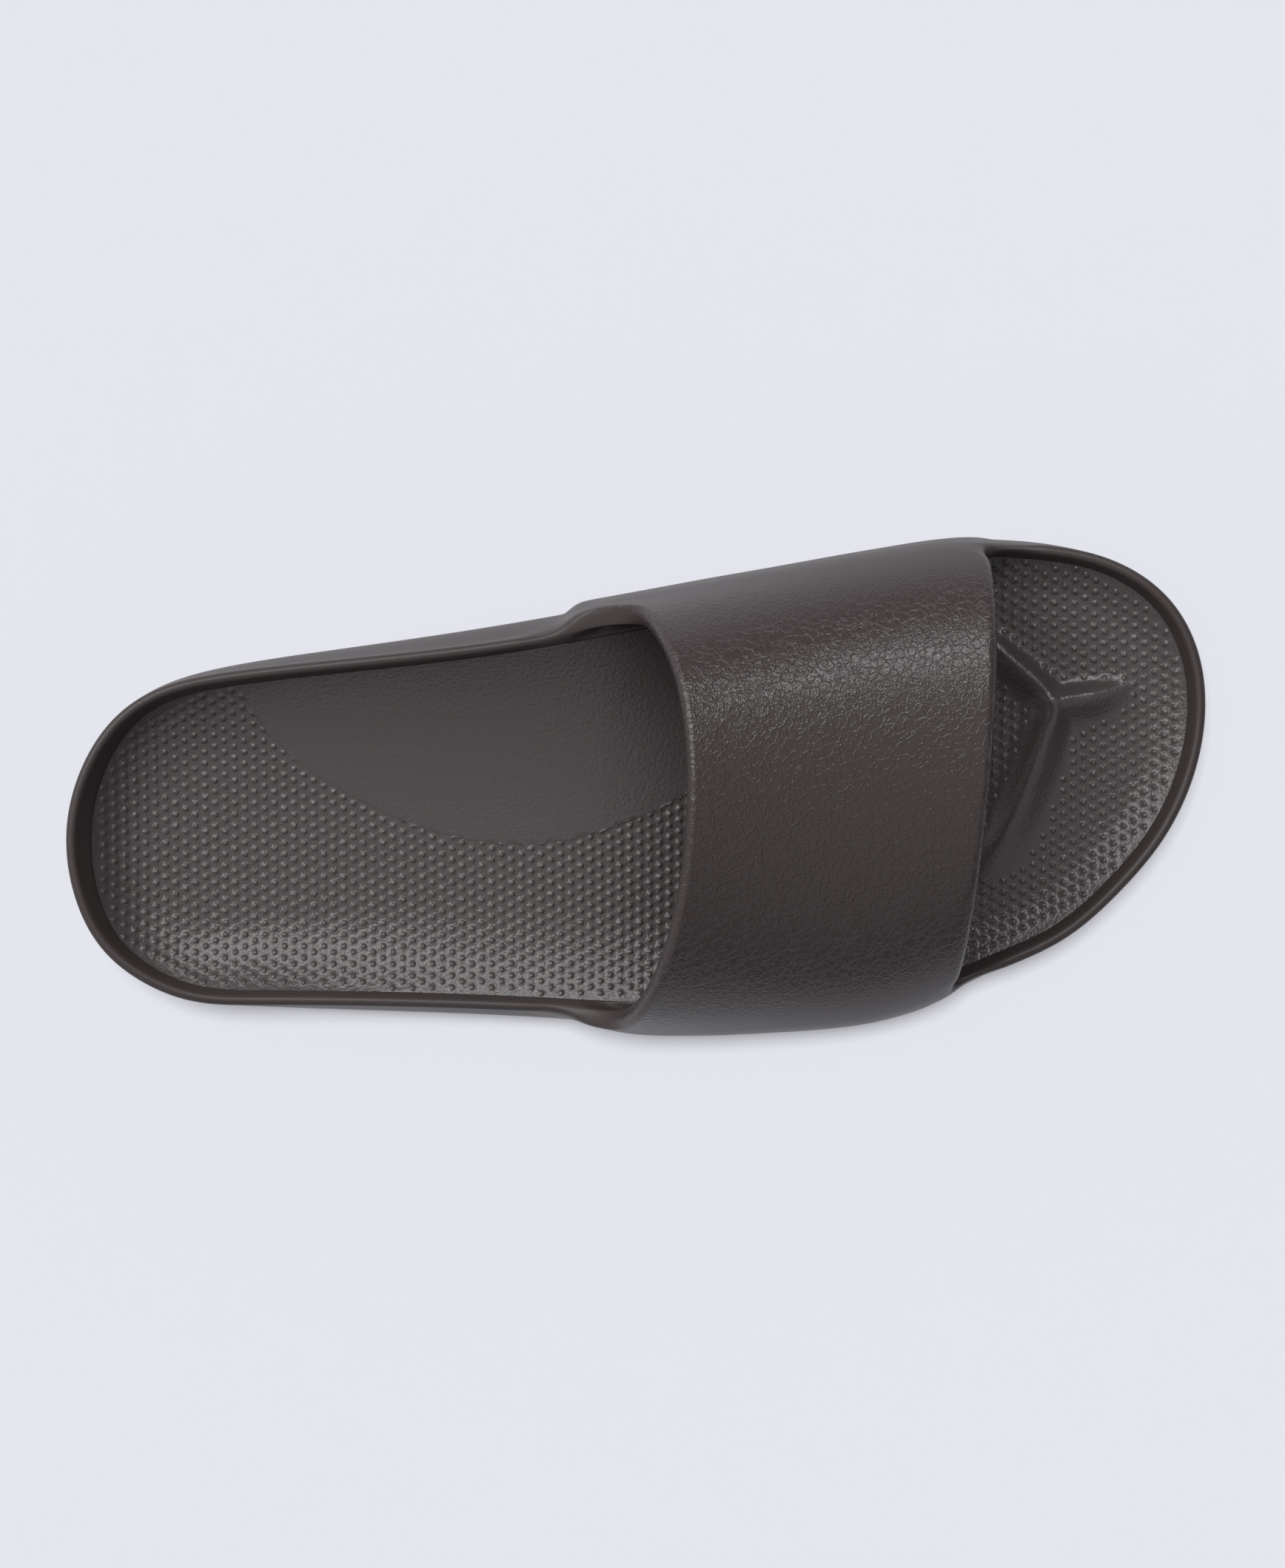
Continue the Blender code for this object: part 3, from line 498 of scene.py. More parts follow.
    def wall_profile(self, angle, share=None):
        """Offset and height of each row up the side wall, over the rim bead and to the bed."""
        side = 1 if angle > 0.0 else -1
        rim, flare, tuck = self.rim(angle), self.flare(angle), self.tuck(angle)
        bead = self.sizes.rim_bead
        floor = self.body_bottom(self.outline(angle, -tuck - EDGE_RADIUS)[0])
        cove = rim - COVE_DROP
        belly = max(BELLY_HEIGHT, floor + LEAST_BELLY)
        ear = ear_step(side, share) if share is not None else 0.0
        return [
            (-tuck - EDGE_RADIUS + 0.5 * ear, floor),
            (-tuck + 0.8 * ear, floor + 0.4 * EDGE_RADIUS),
            (-0.75 * tuck + 0.1 * flare + ear, floor + EDGE_RADIUS),
            (-0.3 * tuck + 0.7 * flare + ear, blend(floor, belly, 0.5)),
            (flare + ear, belly),
            (0.65 * flare + ear, blend(belly, cove, 0.5)),
            (-COVE_DEPTH + 0.9 * ear, cove),
            (0.0, rim - BEAD_SIDE),
            (-0.15 * bead, rim - BEAD_ROUND),
            (-0.50 * bead, rim),
            (-0.85 * bead, rim - BEAD_ROUND),
            (-bead, rim - BEAD_SIDE),
        ]

    def wall_points(self, angle, share=None):
        """The points of one station, bottom edge to recess floor."""
        side = 1 if angle > 0.0 else -1
        profile = self.wall_profile(angle, share)
        points = [[*self.outline(angle, offset), height] for offset, height in profile]
        if share is not None:
            hold = smoothstep(share / FOOT_EASE) * smoothstep((1.0 - share) / FOOT_EASE)
            for row in (SHOULDER_ROW, OUTER_ROW):
                x, y, height = points[row]
                turn = self.arch_angle(share, height)
                turn = turn if side > 0 else math.pi - turn
                points[row][1] = blend(y, self.arch_point(share, turn)[0], hold)
        x, y = self.bed_edge(angle)
        bed = self.bed_height(x, y)
        return points + [[x, y, bed], [x, y, bed - BED_THICKNESS]]

    def ring_turn(self, share, eased):
        """Angle over the arch of one point of a ring; near the edges a ring starts higher up."""
        near_rear = smoothstep(1.0 - share / RING_REAR)
        near_front = smoothstep(1.0 - (1.0 - share) / RING_FRONT)
        drop = COVE_DROP * (1.0 - max(near_rear, near_front))
        start = self.arch_angle(share, self.rim(self.foot_angle(1, share)) - drop)
        end = math.pi - self.arch_angle(share, self.rim(self.foot_angle(-1, share)) - drop)
        return blend(start, end, eased)

    def edge_state(self, edge, eased):
        """Sweep and lip reach of one edge of the strap on a ring."""
        at = 0.0 if edge == "rear" else 1.0
        turn = self.ring_turn(at, eased)
        place = self.strap_place(self.edge_line(edge, turn), turn)
        side = 1 if turn < math.pi / 2.0 else -1
        foot = self.rim(self.foot_angle(side, at))
        rise = self.arch_point(place, turn)[1] - foot
        share = min(max(rise / FILLET_RISE[edge], 0.0), 1.0)
        sweep = fillet_run(edge, over(turn)) * (1.0 - math.sqrt(1.0 - (1.0 - share) ** 2))
        return sweep, STRAP_LIP * smoothstep(share)

    def strap_ring(self, step):
        """One closed loop around the strap's wall, a share of the way from medial to lateral."""
        way = step / STRAP_RINGS
        eased = way - RING_EASE * math.sin(2.0 * math.pi * way) / (2.0 * math.pi)
        (rear_sweep, rear_lip), (front_sweep, front_lip) = (
            self.edge_state(edge, eased) for edge in EDGES
        )
        outer, inner = [], []
        for share in strap_shares():
            turn = self.ring_turn(share, eased)
            rear = self.edge_line("rear", turn) - rear_sweep + rear_lip
            front = self.edge_line("front", turn) + front_sweep - front_lip
            x = blend(rear, front, share)
            place = self.strap_place(x, turn)
            y, z = self.arch_point(place, turn)
            y_next, z_next = self.arch_point(place, turn + ANGLE_STEP)
            size = math.hypot(y_next - y, z_next - z)
            out = np.array([0.0, (z_next - z) / size, -(y_next - y) / size])
            outer.append(np.array([x, y, z]))
            inner.append(outer[-1] - out * self.sizes.strap_wall)
        front_edge = lip(outer[-1], inner[-1], front_lip)
        rear_edge = lip(inner[0], outer[0], -rear_lip)
        return outer + front_edge + inner[::-1] + rear_edge


def strap_shares():
    """Shares across the strap from rear to front, close together at both edges."""
    return [0.5 - 0.5 * math.cos(math.pi * k / STRAP_STEPS) for k in range(STRAP_STEPS + 1)]


def ear_step(side, share):
    """How far the strap's foot stands out at a share of its width."""
    marks = [ear.at for ear in EARS]
    sizes = [ear.medial if side > 0 else ear.lateral for ear in EARS]
    return EAR_STEP * float(np.interp(share, marks, sizes))


def fillet_run(edge, share):
    """Length of the fillet at the foot of an edge, a share of the way from medial to lateral."""
    return blend(REAR_RUN_MEDIAL, REAR_RUN_LATERAL, share) if edge == "rear" else FRONT_RUN


def over(turn):
    """Share of the way over the strap, 0 medial to 1 lateral."""
    return (1.0 - math.cos(turn)) / 2.0


def lip(start, end, reach):
    """Half-round edge of the strap between its two faces."""
    middle = (start + end) / 2.0
    points = []
    for k in range(1, LIP_ROWS + 1):
        turn = math.pi * k / (LIP_ROWS + 1)
        point = middle + (start - middle) * math.cos(turn)
        point[0] += reach * math.sin(turn)
        points.append(point)
    return points


def stitch(mesh, first, second, closed):
    """Quads between two rows of vertices."""
    count = len(first)
    for i in range(count if closed else count - 1):
        j = (i + 1) % count
        mesh.faces.new((first[i], first[j], second[j], second[i]))


def ladder(mesh, medial, lateral, columns, height):
    """Fill between two sides that share their first and last vertex."""
    rungs = []
    for left, right in zip(medial[1:-1], lateral[1:-1]):
        rung = [left]
        for k in range(1, columns):
            share = 0.5 - 0.5 * math.cos(math.pi * k / columns)
            x, y = left.co.lerp(right.co, blend(k / columns, share, 0.5))[:2]
            rung.append(mesh.verts.new((x, y, height(x, y))))
        rungs.append(rung + [right])
    for tip, rung in ((medial[0], rungs[0]), (medial[-1], rungs[-1])):
        for first, second in zip(rung, rung[1:]):
            mesh.faces.new((tip, first, second))
    for first, second in zip(rungs, rungs[1:]):
        stitch(mesh, first, second, False)


def finish_piece(scene, name, make_mesh, make_material, node):
    """Make a smooth piece, from its two functions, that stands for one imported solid."""
    mesh = make_mesh(SlideShape(scene.slide_sizes))
    bmesh.ops.recalc_face_normals(mesh, faces=mesh.faces)
    data = bpy.data.meshes.new(name)
    mesh.to_mesh(data)
    mesh.free()
    piece = bpy.data.objects.new(name, data)
    scene.collection.objects.link(piece)
    data.materials.append(make_material(scene.slide_sizes, scene.slide_colors))
    data.shade_smooth()
    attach(piece, "root")
    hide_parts(node)
    return piece


def rim_loop(columns, rear, front):
    """Loop on the rim from which the strap rises, in the order of a strap ring."""
    loop = [columns[i][OUTER_ROW] for i in range(rear, front + 1)]
    loop += columns[front][OUTER_ROW + 1:INNER_ROW]
    loop += [columns[i][INNER_ROW] for i in range(front, rear - 1, -1)]
    loop += columns[rear][OUTER_ROW + 1:INNER_ROW][::-1]
    return loop


def body_mesh(shape):
    """Strap, side walls, rim and midsole in one moulding, open front and back and on top."""
    mesh = bmesh.new()
    crease = mesh.edges.layers.float.new("crease_edge")
    shares = [None] * HEEL_STEPS + strap_shares() + [None] * TOE_STEPS
    sides = {}
    for side in (1, -1):
        angles = shape.stations(side)
        points = [shape.wall_points(angle, share) for angle, share in zip(angles, shares)]
        sides[side] = [[mesh.verts.new(point) for point in row] for row in points[1:-1]]
        tips = points[0], points[-1]
    heel, toe = ([mesh.verts.new(point) for point in tip] for tip in tips)
    sides = {side: [heel] + columns + [toe] for side, columns in sides.items()}
    rear, front = HEEL_STEPS, HEEL_STEPS + STRAP_STEPS
    for columns in sides.values():
        for i, (first, second) in enumerate(zip(columns, columns[1:])):
            if rear <= i < front:
                stitch(mesh, first[:OUTER_ROW + 1], second[:OUTER_ROW + 1], False)
                stitch(mesh, first[INNER_ROW:], second[INNER_ROW:], False)
            else:
                stitch(mesh, first, second, False)
            for row in (0, INNER_ROW, INNER_ROW + 1):
                edge = mesh.edges.get((first[row], second[row]))
                edge[crease] = 1.0
    loops = [rim_loop(sides[1], rear, front)]
    for step in range(1, STRAP_RINGS):
        loops.append([mesh.verts.new(point) for point in shape.strap_ring(step)])
    loops.append(rim_loop(sides[-1], rear, front))
    for first, second in zip(loops, loops[1:]):
        stitch(mesh, first, second, True)
    soften_corners(mesh, sides, loops, (rear, front))
    for row, columns, height in (
        (-1, BED_COLUMNS, lambda x, y: shape.bed_height(x, y) - BED_THICKNESS),
        (0, SOLE_COLUMNS, shape.body_bottom),
    ):
        ladder(mesh, *[[column[row] for column in sides[side]] for side in (1, -1)], columns, height)
    return mesh


def soften_corners(mesh, sides, loops, corners):
    """Ease the rim into the strap around its four feet."""
    movable = set()
    for columns in sides.values():
        for column in columns:
            movable.update(column[SHOULDER_ROW:INNER_ROW])
    for loop in loops[1:-1]:
        movable.update(loop)
    centres = [sides[side][i][INNER_ROW - 4].co.copy() for side in (1, -1) for i in corners]
    near = [v for v in movable if min((v.co - centre).length for centre in centres) < CORNER_REACH]
    axes = {"use_axis_x": True, "use_axis_y": True, "use_axis_z": True}
    for _ in range(CORNER_ROUNDS):
        bmesh.ops.smooth_vert(mesh, verts=near, factor=0.5, **axes)


# Rings of one nub, outward from its centre: points, radius as a share of half the nub's width,
# and height as a share of the nub's height.
NUB_RINGS = table(
    "points radius height",
    (1, 0.00, 1.00),
    (6, 0.38, 0.90),
    (8, 0.74, 0.56),
    (10, 1.00, 0.10),
    (9, 1.20, 0.00),
)
NUB_TURN = math.radians(5.5)


class BedPlan:
    """Nubs and smooth arch pad of the footbed, as points and edges in plan."""

    def __init__(self, shape):
        sizes = shape.sizes
        self.shape = shape
        self.pitch = sizes.nub_pitch
        self.spacing = sizes.nub_pitch * math.cos(math.radians(30.0))
        self.radius = sizes.nub_width / 2.0
        self.height = sizes.nub_height
        rows = [(p.along * shape.length, p.across * shape.half_width) for p in PAD_EDGE]
        self.pad_line = smooth_line(rows)
        # The edge in even steps of angle, medial side first
        angles = np.linspace(0.0, 2.0 * math.pi, RIM_POINTS, endpoint=False)
        self.rim = np.column_stack(shape.bed_edge(angles, SEEN_GAP))

    def pad_depth(self, x, y):
        """Signed distance into the smooth pad; negative on the nubbed side."""
        away, left, _ = nearest(self.pad_line, x, y)
        return away * np.sign(left)

    def lattice(self):
        """Centres of all nubs on the insert, also where they are left out or smoothed away."""
        span = self.shape.length
        columns = np.arange(-int(span / self.spacing), int(span / self.spacing))
        rows = np.arange(-int(span / self.pitch), int(span / self.pitch))
        column, row = (grid.ravel() for grid in np.meshgrid(columns, rows))
        u = column * self.spacing
        v = (row + 0.5 * (column % 2)) * self.pitch
        x, y = turned(u, v, NUB_TURN)
        keep = self.inside(x, y, NUB_CLEAR * self.radius)
        return x[keep], y[keep]

    def inside(self, x, y, margin):
        """Whether points lie on the insert, at least a margin inside its edge."""
        hit = np.abs(x) < self.shape.length / 2.0
        for side in (1.0, -1.0):
            edge = self.side_at(side, x, SEEN_GAP + margin)
            hit &= (y - edge) * side < 0.0
        return hit

    def side_at(self, side, x, inward):
        """y of the bed's edge, moved inward, at x on one side."""
        angles = np.linspace(0.0, math.pi, SIDE_POINTS)
        edge_x, edge_y = self.shape.bed_edge(side * angles, inward)
        order = np.argsort(edge_x)
        # Past the tips the edge is put far over on the other side, so that nothing is inside it.
        far = -side
        return np.interp(x, edge_x[order], edge_y[order], left=far, right=far)

    def nub_at(self, x, y):
        """Height of the nubs at any point, from the nearest one, which is whole or left out."""
        u, v = turned(x, y, -NUB_TURN)
        column = np.round(u / self.spacing)
        shift = 0.5 * np.mod(column, 2)
        middle_u = column * self.spacing
        middle_v = (np.round(v / self.pitch - shift) + shift) * self.pitch
        middle = turned(middle_u, middle_v, NUB_TURN)
        radii = [ring.radius * self.radius for ring in NUB_RINGS]
        away = np.hypot(u - middle_u, v - middle_v)
        rise = self.height * np.interp(away, radii, [ring.height for ring in NUB_RINGS])
        bare = (self.shape.crest(*middle) / CREST_HEIGHT - BARE_START) / BARE_BLEND
        whole = self.inside(*middle, radii[-1])
        return rise * whole * (1.0 - smoothstep(bare))

    def surface(self, x, y):
        """Height of the finished footbed: bed, nubs, pad and crest."""
        pad = smoothstep(self.pad_depth(x, y) / PAD_EDGE_WIDTH + 0.5)
        return self.shape.bed_height(x, y) + self.nub_at(x, y) * (1.0 - pad) + pad * PAD_RISE


def free_points(plan):
    """Points of the insert's top in plan: rings of nubs, gaps between them, and the bare pad."""
    x, y = plan.lattice()
    nubbed = in_parts(plan.pad_depth, x, y) < plan.radius
    points = []
    for ring in NUB_RINGS:
        for k in range(ring.points):
            turn = 2.0 * math.pi * k / ring.points + ring.radius
            reach = ring.radius * plan.radius
            points.append((x[nubbed] + reach * math.cos(turn), y[nubbed] + reach * math.sin(turn)))
    for turn in (0.0, math.pi):
        reach = plan.pitch / math.sqrt(3.0)
        points.append((x + reach * math.cos(turn - NUB_TURN), y + reach * math.sin(turn - NUB_TURN)))
    points.append((x[~nubbed], y[~nubbed]))
    free_x, free_y = (np.concatenate(values) for values in zip(*points))
    clear = plan.inside(free_x, free_y, POINT_MARGIN)
    clear &= np.abs(in_parts(plan.pad_depth, free_x, free_y)) > PAD_CLEAR * PAD_EDGE_WIDTH
    return np.column_stack([free_x[clear], free_y[clear]])


def footbed_mesh(shape):
    """Insert with its nubs: a fine top over a plan of points, walls and a plain underside."""
    plan = BedPlan(shape)
    lines = pad_edges(plan)
    coords = np.vstack([plan.rim] + lines + [free_points(plan)])
    edges = [(i, (i + 1) % RIM_POINTS) for i in range(RIM_POINTS)]
    start = RIM_POINTS
    for line in lines:
        edges += [(start + i, start + i + 1) for i in range(len(line) - 1)]
        start += len(line)
    flat = [Vector(point) for point in coords]
    solved, _, faces, sources, _, _ = delaunay_2d_cdt(flat, edges, [], INSIDE_ONLY, SAME_POINT)
    corners = np.array([tuple(point) for point in solved])
    heights = in_parts(plan.surface, corners[:, 0], corners[:, 1])
    origins = {i: corner for corner, origin in enumerate(sources) for i in origin}
    mesh = bmesh.new()
    tops = [mesh.verts.new((*corner, height)) for corner, height in zip(corners, heights)]
    for face in faces:
        mesh.faces.new([tops[i] for i in face])
    add_underside(mesh, shape, [tops[origins[i]] for i in range(RIM_POINTS)])
    return mesh


def pad_edges(plan):
    """The two lines of the pad's small step, kept on the insert."""
    steps = np.diff(plan.pad_line, axis=0)
    normals = np.column_stack([-steps[:, 1], steps[:, 0]])
    normals /= np.linalg.norm(normals, axis=1)[:, None]
    middle = (plan.pad_line[1:] + plan.pad_line[:-1]) / 2.0
    lines = []
    for side in (-0.5, 0.5):
        line = middle + side * PAD_EDGE_WIDTH * normals
        lines.append(line[plan.inside(*line.T, POINT_MARGIN)])
    return lines


def add_underside(mesh, shape, edge_tops):
    """Walls and underside of the insert, below its top edge."""

    def height(x, y):
        return float(shape.bed_height(x, y)) - BED_THICKNESS + GAP

    low = []
    for top in edge_tops:
        x, y = top.co[:2]
        low.append(mesh.verts.new((x, y, height(x, y))))
    stitch(mesh, edge_tops, low, True)
    half = len(low) // 2
    ladder(mesh, low[:half + 1], [low[0]] + low[:half - 1:-1], BED_COLUMNS, height)


def add_node(tree, kind, settings=None, links=None):
    """Add a node, set its sockets or properties by name, and link its inputs."""
    node = tree.nodes.new(kind)
    for name, value in (settings or {}).items():
        if isinstance(name, int) or name in node.inputs:
            node.inputs[name].default_value = value
        else:
            setattr(node, name, value)
    for name, source in (links or {}).items():
        tree.links.new(source, node.inputs[name])
    return node


def new_material(name):
    """A material, and the function that adds a node to its empty tree."""
    material = bpy.data.materials.new(name)
    material.use_nodes = True
    material.node_tree.nodes.clear()
    return material, partial(add_node, material.node_tree)


def moulded_foam(sizes, colors):
    """Injection-moulded EVA foam from an etched mould: satin, with leather-like ridges."""
    material, add = new_material("injection_moulded_eva_foam")
    place = add("ShaderNodeTexCoord").outputs["Object"]
    # The ridges wander, so their cells are drawn on coordinates pushed about by a soft noise.
    wander = add(
        "ShaderNodeTexNoise", {"Scale": 0.6 / sizes.grain_size, "Detail": 3.0}, {"Vector": place}
    )
    pushed = add(
        "ShaderNodeVectorMath",
        {"operation": "MULTIPLY_ADD", 1: (sizes.grain_size * 1.5,) * 3},
        {0: wander.outputs["Color"], 2: place},
    )
    # Coarse cells with finer wrinkles inside them, both as thin raised lines
    ridges = []
    for size, width in ((sizes.grain_size, 0.13), (0.42 * sizes.grain_size, 0.3)):
        cells = add(
            "ShaderNodeTexVoronoi", {"feature": "DISTANCE_TO_EDGE", "Scale": 1.0 / size},
            {"Vector": pushed.outputs["Vector"]},
        )
        ridges.append(add(
            "ShaderNodeMapRange",
            {"From Max": width, "To Min": 1.0, "To Max": 0.0, "interpolation_type": "SMOOTHSTEP"},
            {"Value": cells.outputs["Distance"]},
        ))
    ridge = add(
        "ShaderNodeMath", {"operation": "MULTIPLY_ADD", 1: 0.45},
        {0: ridges[1].outputs["Result"], 2: ridges[0].outputs["Result"]},
    )
    # Only the strap has the ridges. Below the rim the mould is finely blasted.
    height = add("ShaderNodeSeparateXYZ", {}, {"Vector": place}).outputs["Z"]
    strap = add(
        "ShaderNodeMapRange",
        {"From Min": sizes.rim_height + 0.001, "From Max": sizes.rim_height + 0.014},
        {"Value": height},
    )
    fine = add(
        "ShaderNodeTexNoise", {"Scale": 1.0 / sizes.fine_grain, "Detail": 2.0, "Roughness": 0.6},
        {"Vector": place},
    )
    ridge_bump = add(
        "ShaderNodeBump", {"Distance": sizes.grain_depth},
        {"Height": ridge.outputs["Value"], "Strength": strap.outputs["Result"]},
    )
    bump = add(
        "ShaderNodeBump", {"Distance": 0.00012, "Strength": 0.5},
        {"Height": fine.outputs["Fac"], "Normal": ridge_bump.outputs["Normal"]},
    )
    roughness = add(
        "ShaderNodeMapRange", {"To Min": 0.45, "To Max": 0.24}, {"Value": strap.outputs["Result"]}
    )
    # The skin is full of fine pores, so it mirrors less than a solid plastic.
    shader = add(
        "ShaderNodeBsdfPrincipled",
        {"Base Color": (*colors.foam, 1.0), "IOR": 1.48, "Specular IOR Level": 0.4},
        {"Normal": bump.outputs["Normal"], "Roughness": roughness.outputs["Result"]},
    )
    add("ShaderNodeOutputMaterial", {}, {"Surface": shader.outputs["BSDF"]})
    return material


def fine_grained(name, color, noise, bump, skin):
    """A skin with one fine grain all over. The last three are the settings of its nodes."""
    material, add = new_material(name)
    place = add("ShaderNodeTexCoord").outputs["Object"]
    grain = add("ShaderNodeTexNoise", noise, {"Vector": place}).outputs["Fac"]
    normal = add("ShaderNodeBump", bump, {"Height": grain}).outputs["Normal"]
    settings = {"Base Color": (*color, 1.0), **skin}
    shader = add("ShaderNodeBsdfPrincipled", settings, {"Normal": normal})
    add("ShaderNodeOutputMaterial", {}, {"Surface": shader.outputs["BSDF"]})
    return material


def footbed_foam(sizes, colors):
    """Compression-moulded EVA insert: smoother mould, so it gleams more than the strap."""
    return fine_grained(
        "compression_moulded_eva_insert", colors.insert,
        {"Scale": 0.8 / sizes.fine_grain, "Detail": 2.0},
        {"Distance": 0.00035, "Strength": 0.5}, {"Roughness": 0.31, "IOR": 1.5},
    )


def outsole_rubber(sizes, colors):
    """Moulded carbon-black rubber: matt, with the faint speckle of a sand-blasted mould."""
    return fine_grained(
        "moulded_rubber", colors.rubber,
        {"Scale": 1.0 / sizes.fine_grain, "Detail": 3.0},
        {"Distance": 0.0001, "Strength": 0.6}, {"Roughness": 0.62, "IOR": 1.52},
    )


def studio_paper(colors):
    """Smooth matt paper: pale, even and without a highlight."""
    material, add = new_material("matt_paper")
    grain = add("ShaderNodeTexNoise", {"Scale": 400.0, "Detail": 2.0})
    tint = add(
        "ShaderNodeMapRange", {"To Min": 0.995, "To Max": 1.0}, {"Value": grain.outputs["Fac"]}
    )
    color = add(
        "ShaderNodeVectorMath", {"operation": "SCALE", 0: tuple(colors.paper)},
        {"Scale": tint.outputs["Result"]},
    )
    shader = add(
        "ShaderNodeBsdfPrincipled", {"Roughness": 0.9, "Specular IOR Level": 0.1},
        {"Base Color": color.outputs["Vector"]},
    )
    add("ShaderNodeOutputMaterial", {}, {"Surface": shader.outputs["BSDF"]})
    return material


def size_prop(name, description, default):
    return FloatProperty(name=name, description=description, default=default, min=0.0,
                         precision=5, unit="LENGTH")


def color_prop(name, description, code):
    return FloatVectorProperty(name=name, description=description, default=linear(code),
                               subtype="COLOR", min=0.0, max=1.0)


class SlideSizes(bpy.types.PropertyGroup):
    """Sizes of the sandal, in metres."""
    length: size_prop("Length", "Heel tip to toe tip at the rim", 0.285)
    width: size_prop("Width", "Widest span of the rim table", 0.1188)
    rim_height: size_prop("Rim height", "Floor to the rim at the heel", 0.038)
    rim_bead: size_prop("Rim bead", "Width of the rounded rim", 0.003)
    bed_height: size_prop("Bed height", "Floor to the footbed at the heel", 0.024)
    strap_wall: size_prop("Strap wall", "Thickness of the strap", 0.005)
    crown_rear: size_prop("Rear crown", "Floor to the strap's top at its rear edge", 0.079)
    crown_front: size_prop("Front crown", "Floor to the strap's top at its front edge", 0.067)
    nub_pitch: size_prop("Nub pitch", "Distance between neighbouring nubs", 0.00285)
    nub_width: size_prop("Nub width", "Width of one nub", 0.0015)
    nub_height: size_prop("Nub height", "Height of one nub", 0.00045)
    grain_size: size_prop("Grain size", "Width of one cell of the ridged grain", 0.0021)
    grain_depth: size_prop("Grain depth", "Height of the ridged grain", 0.00006)
    fine_grain: size_prop("Fine grain", "Width of a grain of the blasted mould, drawn coarse", 0.0007)


class SlideColors(bpy.types.PropertyGroup):
    """Colours of the sandal and its setting."""
    foam: color_prop("Moulded foam", "Strap, side walls and midsole", "#3B3333")
    insert: color_prop("Insert foam", "Footbed insert", "#443E3E")
    rubber: color_prop("Rubber", "Outsole", "#302C2C")
    paper: color_prop("Paper", "Floor under the shoe", "#E6E7EE")


class SLIDE_OT_body(bpy.types.Operator):
    """Make the strap, side walls and midsole in one moulding"""
    bl_idname = "slide.body"
    bl_label = "Strap and midsole"

    def execute(self, context):
        piece = finish_piece(
            context.scene, "slide_body", body_mesh, moulded_foam, "upper_and_midsole"
        )
        smooth = piece.modifiers.new("smooth", "SUBSURF")
        smooth.levels = smooth.render_levels = SMOOTH_LEVELS
        return {"FINISHED"}


class SLIDE_OT_footbed(bpy.types.Operator):
    """Make the contoured insert with its nubs, arch pad and toe crest"""
    bl_idname = "slide.footbed"
    bl_label = "Nubbed footbed"

    def execute(self, context):
        piece = finish_piece(
            context.scene, "nubbed_footbed", footbed_mesh, footbed_foam, "footbed"
        )
        piece.data.set_sharp_from_angle(angle=math.radians(60.0))
        return {"FINISHED"}


class SLIDE_OT_outsole(bpy.types.Operator):
    """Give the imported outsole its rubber"""
    bl_idname = "slide.outsole"
    bl_label = "Outsole"

    def execute(self, context):
        scene = context.scene
        rubber = outsole_rubber(scene.slide_sizes, scene.slide_colors)
        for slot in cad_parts["outsole"].material_slots:
            slot.material = rubber
        return {"FINISHED"}


# A long strip light beyond the arch side gives the sheen, a small box beyond the heel the bright
# spots of the nubs, and a tent of white cloth the even light on the shoe. The paper has a light of
# its own, almost overhead, which keeps it even and its shadow short. Energy is in watts for an area
# lamp and in watts a square metre for a sun, width and height in metres, and angle in degrees.
# floor says whether the floor is left out of the lamp's light or is all that it lights.
LAMPS = table(
    "name kind energy width height angle place floor",
    ("strip_light", "AREA", 50.0, 3.6, 0.3, 0.0, (-0.5, 1.3, 1.95), "EXCLUDE"),
    ("cloth_tent", "SUN", 1.18, 0.0, 0.0, 130.0, (-0.35, -0.08, 1.0), "EXCLUDE"),
    ("side_box", "AREA", 12.0, 1.5, 0.35, 0.0, (-1.3, 1.4, 1.2), "EXCLUDE"),
    ("paper_light", "SUN", 2.85, 0.0, 0.0, 16.0, (-0.04, 0.13, 1.0), "INCLUDE"),
)


def look_matrix(place, aim, up):
    """Placement of a camera or lamp that looks from place to aim."""
    back = (place - aim).normalized()
    right = up.cross(back).normalized()
    top = back.cross(right)
    turn = Matrix((right, top, back)).transposed().to_4x4()
    turn.translation = place
    return turn


def lay_floor(scene):
    """A wide sheet of paper under the shoe."""
    data = bpy.data.meshes.new("paper_floor")
    reach = 3.0
    data.from_pydata(
        [(-reach, -reach, 0.0), (reach, -reach, 0.0), (reach, reach, 0.0), (-reach, reach, 0.0)],
        [], [(0, 1, 2, 3)],
    )
    data.materials.append(studio_paper(scene.slide_colors))
    floor = bpy.data.objects.new("paper_floor", data)
    scene.collection.objects.link(floor)
    return floor


def hang_lamps(scene, floor):
    """The faint light of the room, and the lamps, each on the shoe or on the floor alone."""
    world = bpy.data.worlds.new("pale_room")
    world.use_nodes = True
    background = world.node_tree.nodes["Background"]
    background.inputs["Color"].default_value = (0.95, 0.96, 1.0, 1.0)
    background.inputs["Strength"].default_value = 0.1
    scene.world = world
    shoe = Vector((0.0, 0.0, 0.03))
    upright = Vector((0.0, 0.0, 1.0))
    for lamp in LAMPS:
        light = bpy.data.lights.new(lamp.name, lamp.kind)
        light.energy = lamp.energy
        if lamp.kind == "AREA":
            light.shape = "RECTANGLE"
            light.size, light.size_y = lamp.width, lamp.height
        else:
            light.angle = math.radians(lamp.angle)
        item = bpy.data.objects.new(lamp.name, light)
        item.matrix_world = look_matrix(Vector(lamp.place), shoe, upright)
        scene.collection.objects.link(item)
        group = bpy.data.collections.new(lamp.name)
        group.objects.link(floor)
        group.collection_objects[0].light_linking.link_state = lamp.floor
        item.light_linking.receiver_collection = group


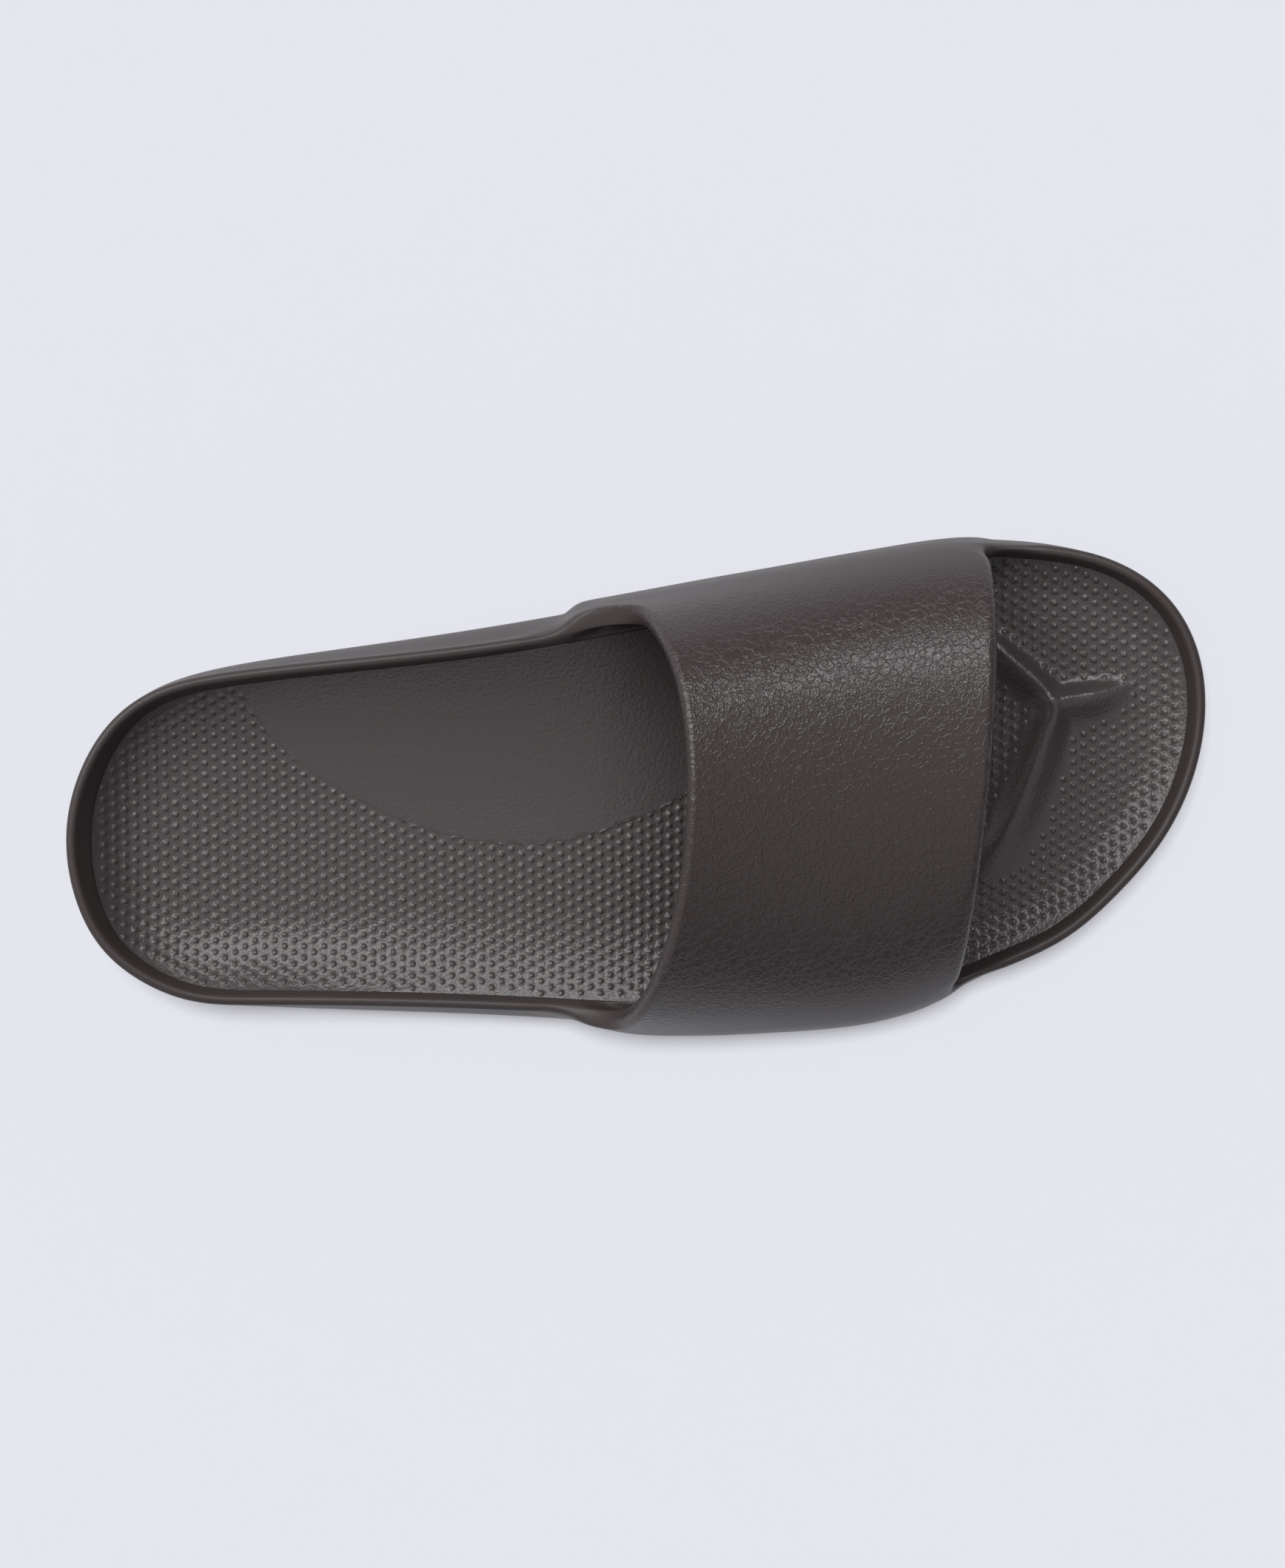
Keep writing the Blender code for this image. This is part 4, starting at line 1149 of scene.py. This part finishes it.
def place_camera(scene):
    """The camera of the photo, above the shoe and a little rolled."""
    lens = bpy.data.cameras.new("photo_camera")
    lens.lens = 100.0
    lens.sensor_fit = "VERTICAL"
    lens.sensor_height = 36.0
    camera = bpy.data.objects.new("photo_camera", lens)
    aim = Vector((0.0012, 0.0062, 0.025))
    distance, tilt, roll = 1.088, math.radians(3.5), math.radians(5.5)
    away = Vector((0.0, math.tan(tilt), 1.0)).normalized()
    up = Vector((math.sin(roll), math.cos(roll), 0.0))
    camera.matrix_world = look_matrix(aim + distance * away, aim, up)
    scene.collection.objects.link(camera)
    scene.camera = camera
    scene.view_settings.view_transform = "Standard"


class SLIDE_OT_stage(bpy.types.Operator):
    """Set the paper floor, the lamps and the camera of the photo"""
    bl_idname = "slide.stage"
    bl_label = "Stage"

    def execute(self, context):
        floor = lay_floor(context.scene)
        hang_lamps(context.scene, floor)
        place_camera(context.scene)
        return {"FINISHED"}


class SLIDE_PT_panel(bpy.types.Panel):
    """Sizes, colours and making of the sandal"""
    bl_idname = "SLIDE_PT_panel"
    bl_label = "Slide sandal"
    bl_space_type = "VIEW_3D"
    bl_region_type = "UI"
    bl_category = "Slide"

    def draw(self, context):
        for group in (context.scene.slide_sizes, context.scene.slide_colors):
            for name in group.__annotations__:
                self.layout.prop(group, name)
        for operator in OPERATORS:
            self.layout.operator(operator.bl_idname)


OPERATORS = (SLIDE_OT_body, SLIDE_OT_footbed, SLIDE_OT_outsole, SLIDE_OT_stage)
CLASSES = (SlideSizes, SlideColors) + OPERATORS + (SLIDE_PT_panel,)


def register():
    for item in CLASSES:
        bpy.utils.register_class(item)
    bpy.types.Scene.slide_sizes = PointerProperty(type=SlideSizes)
    bpy.types.Scene.slide_colors = PointerProperty(type=SlideColors)


def unregister():
    del bpy.types.Scene.slide_colors
    del bpy.types.Scene.slide_sizes
    for item in reversed(CLASSES):
        bpy.utils.unregister_class(item)


def main():
    register()
    bpy.ops.slide.body()
    bpy.ops.slide.footbed()
    bpy.ops.slide.outsole()
    bpy.ops.slide.stage()


if __name__ == "__main__":
    main()
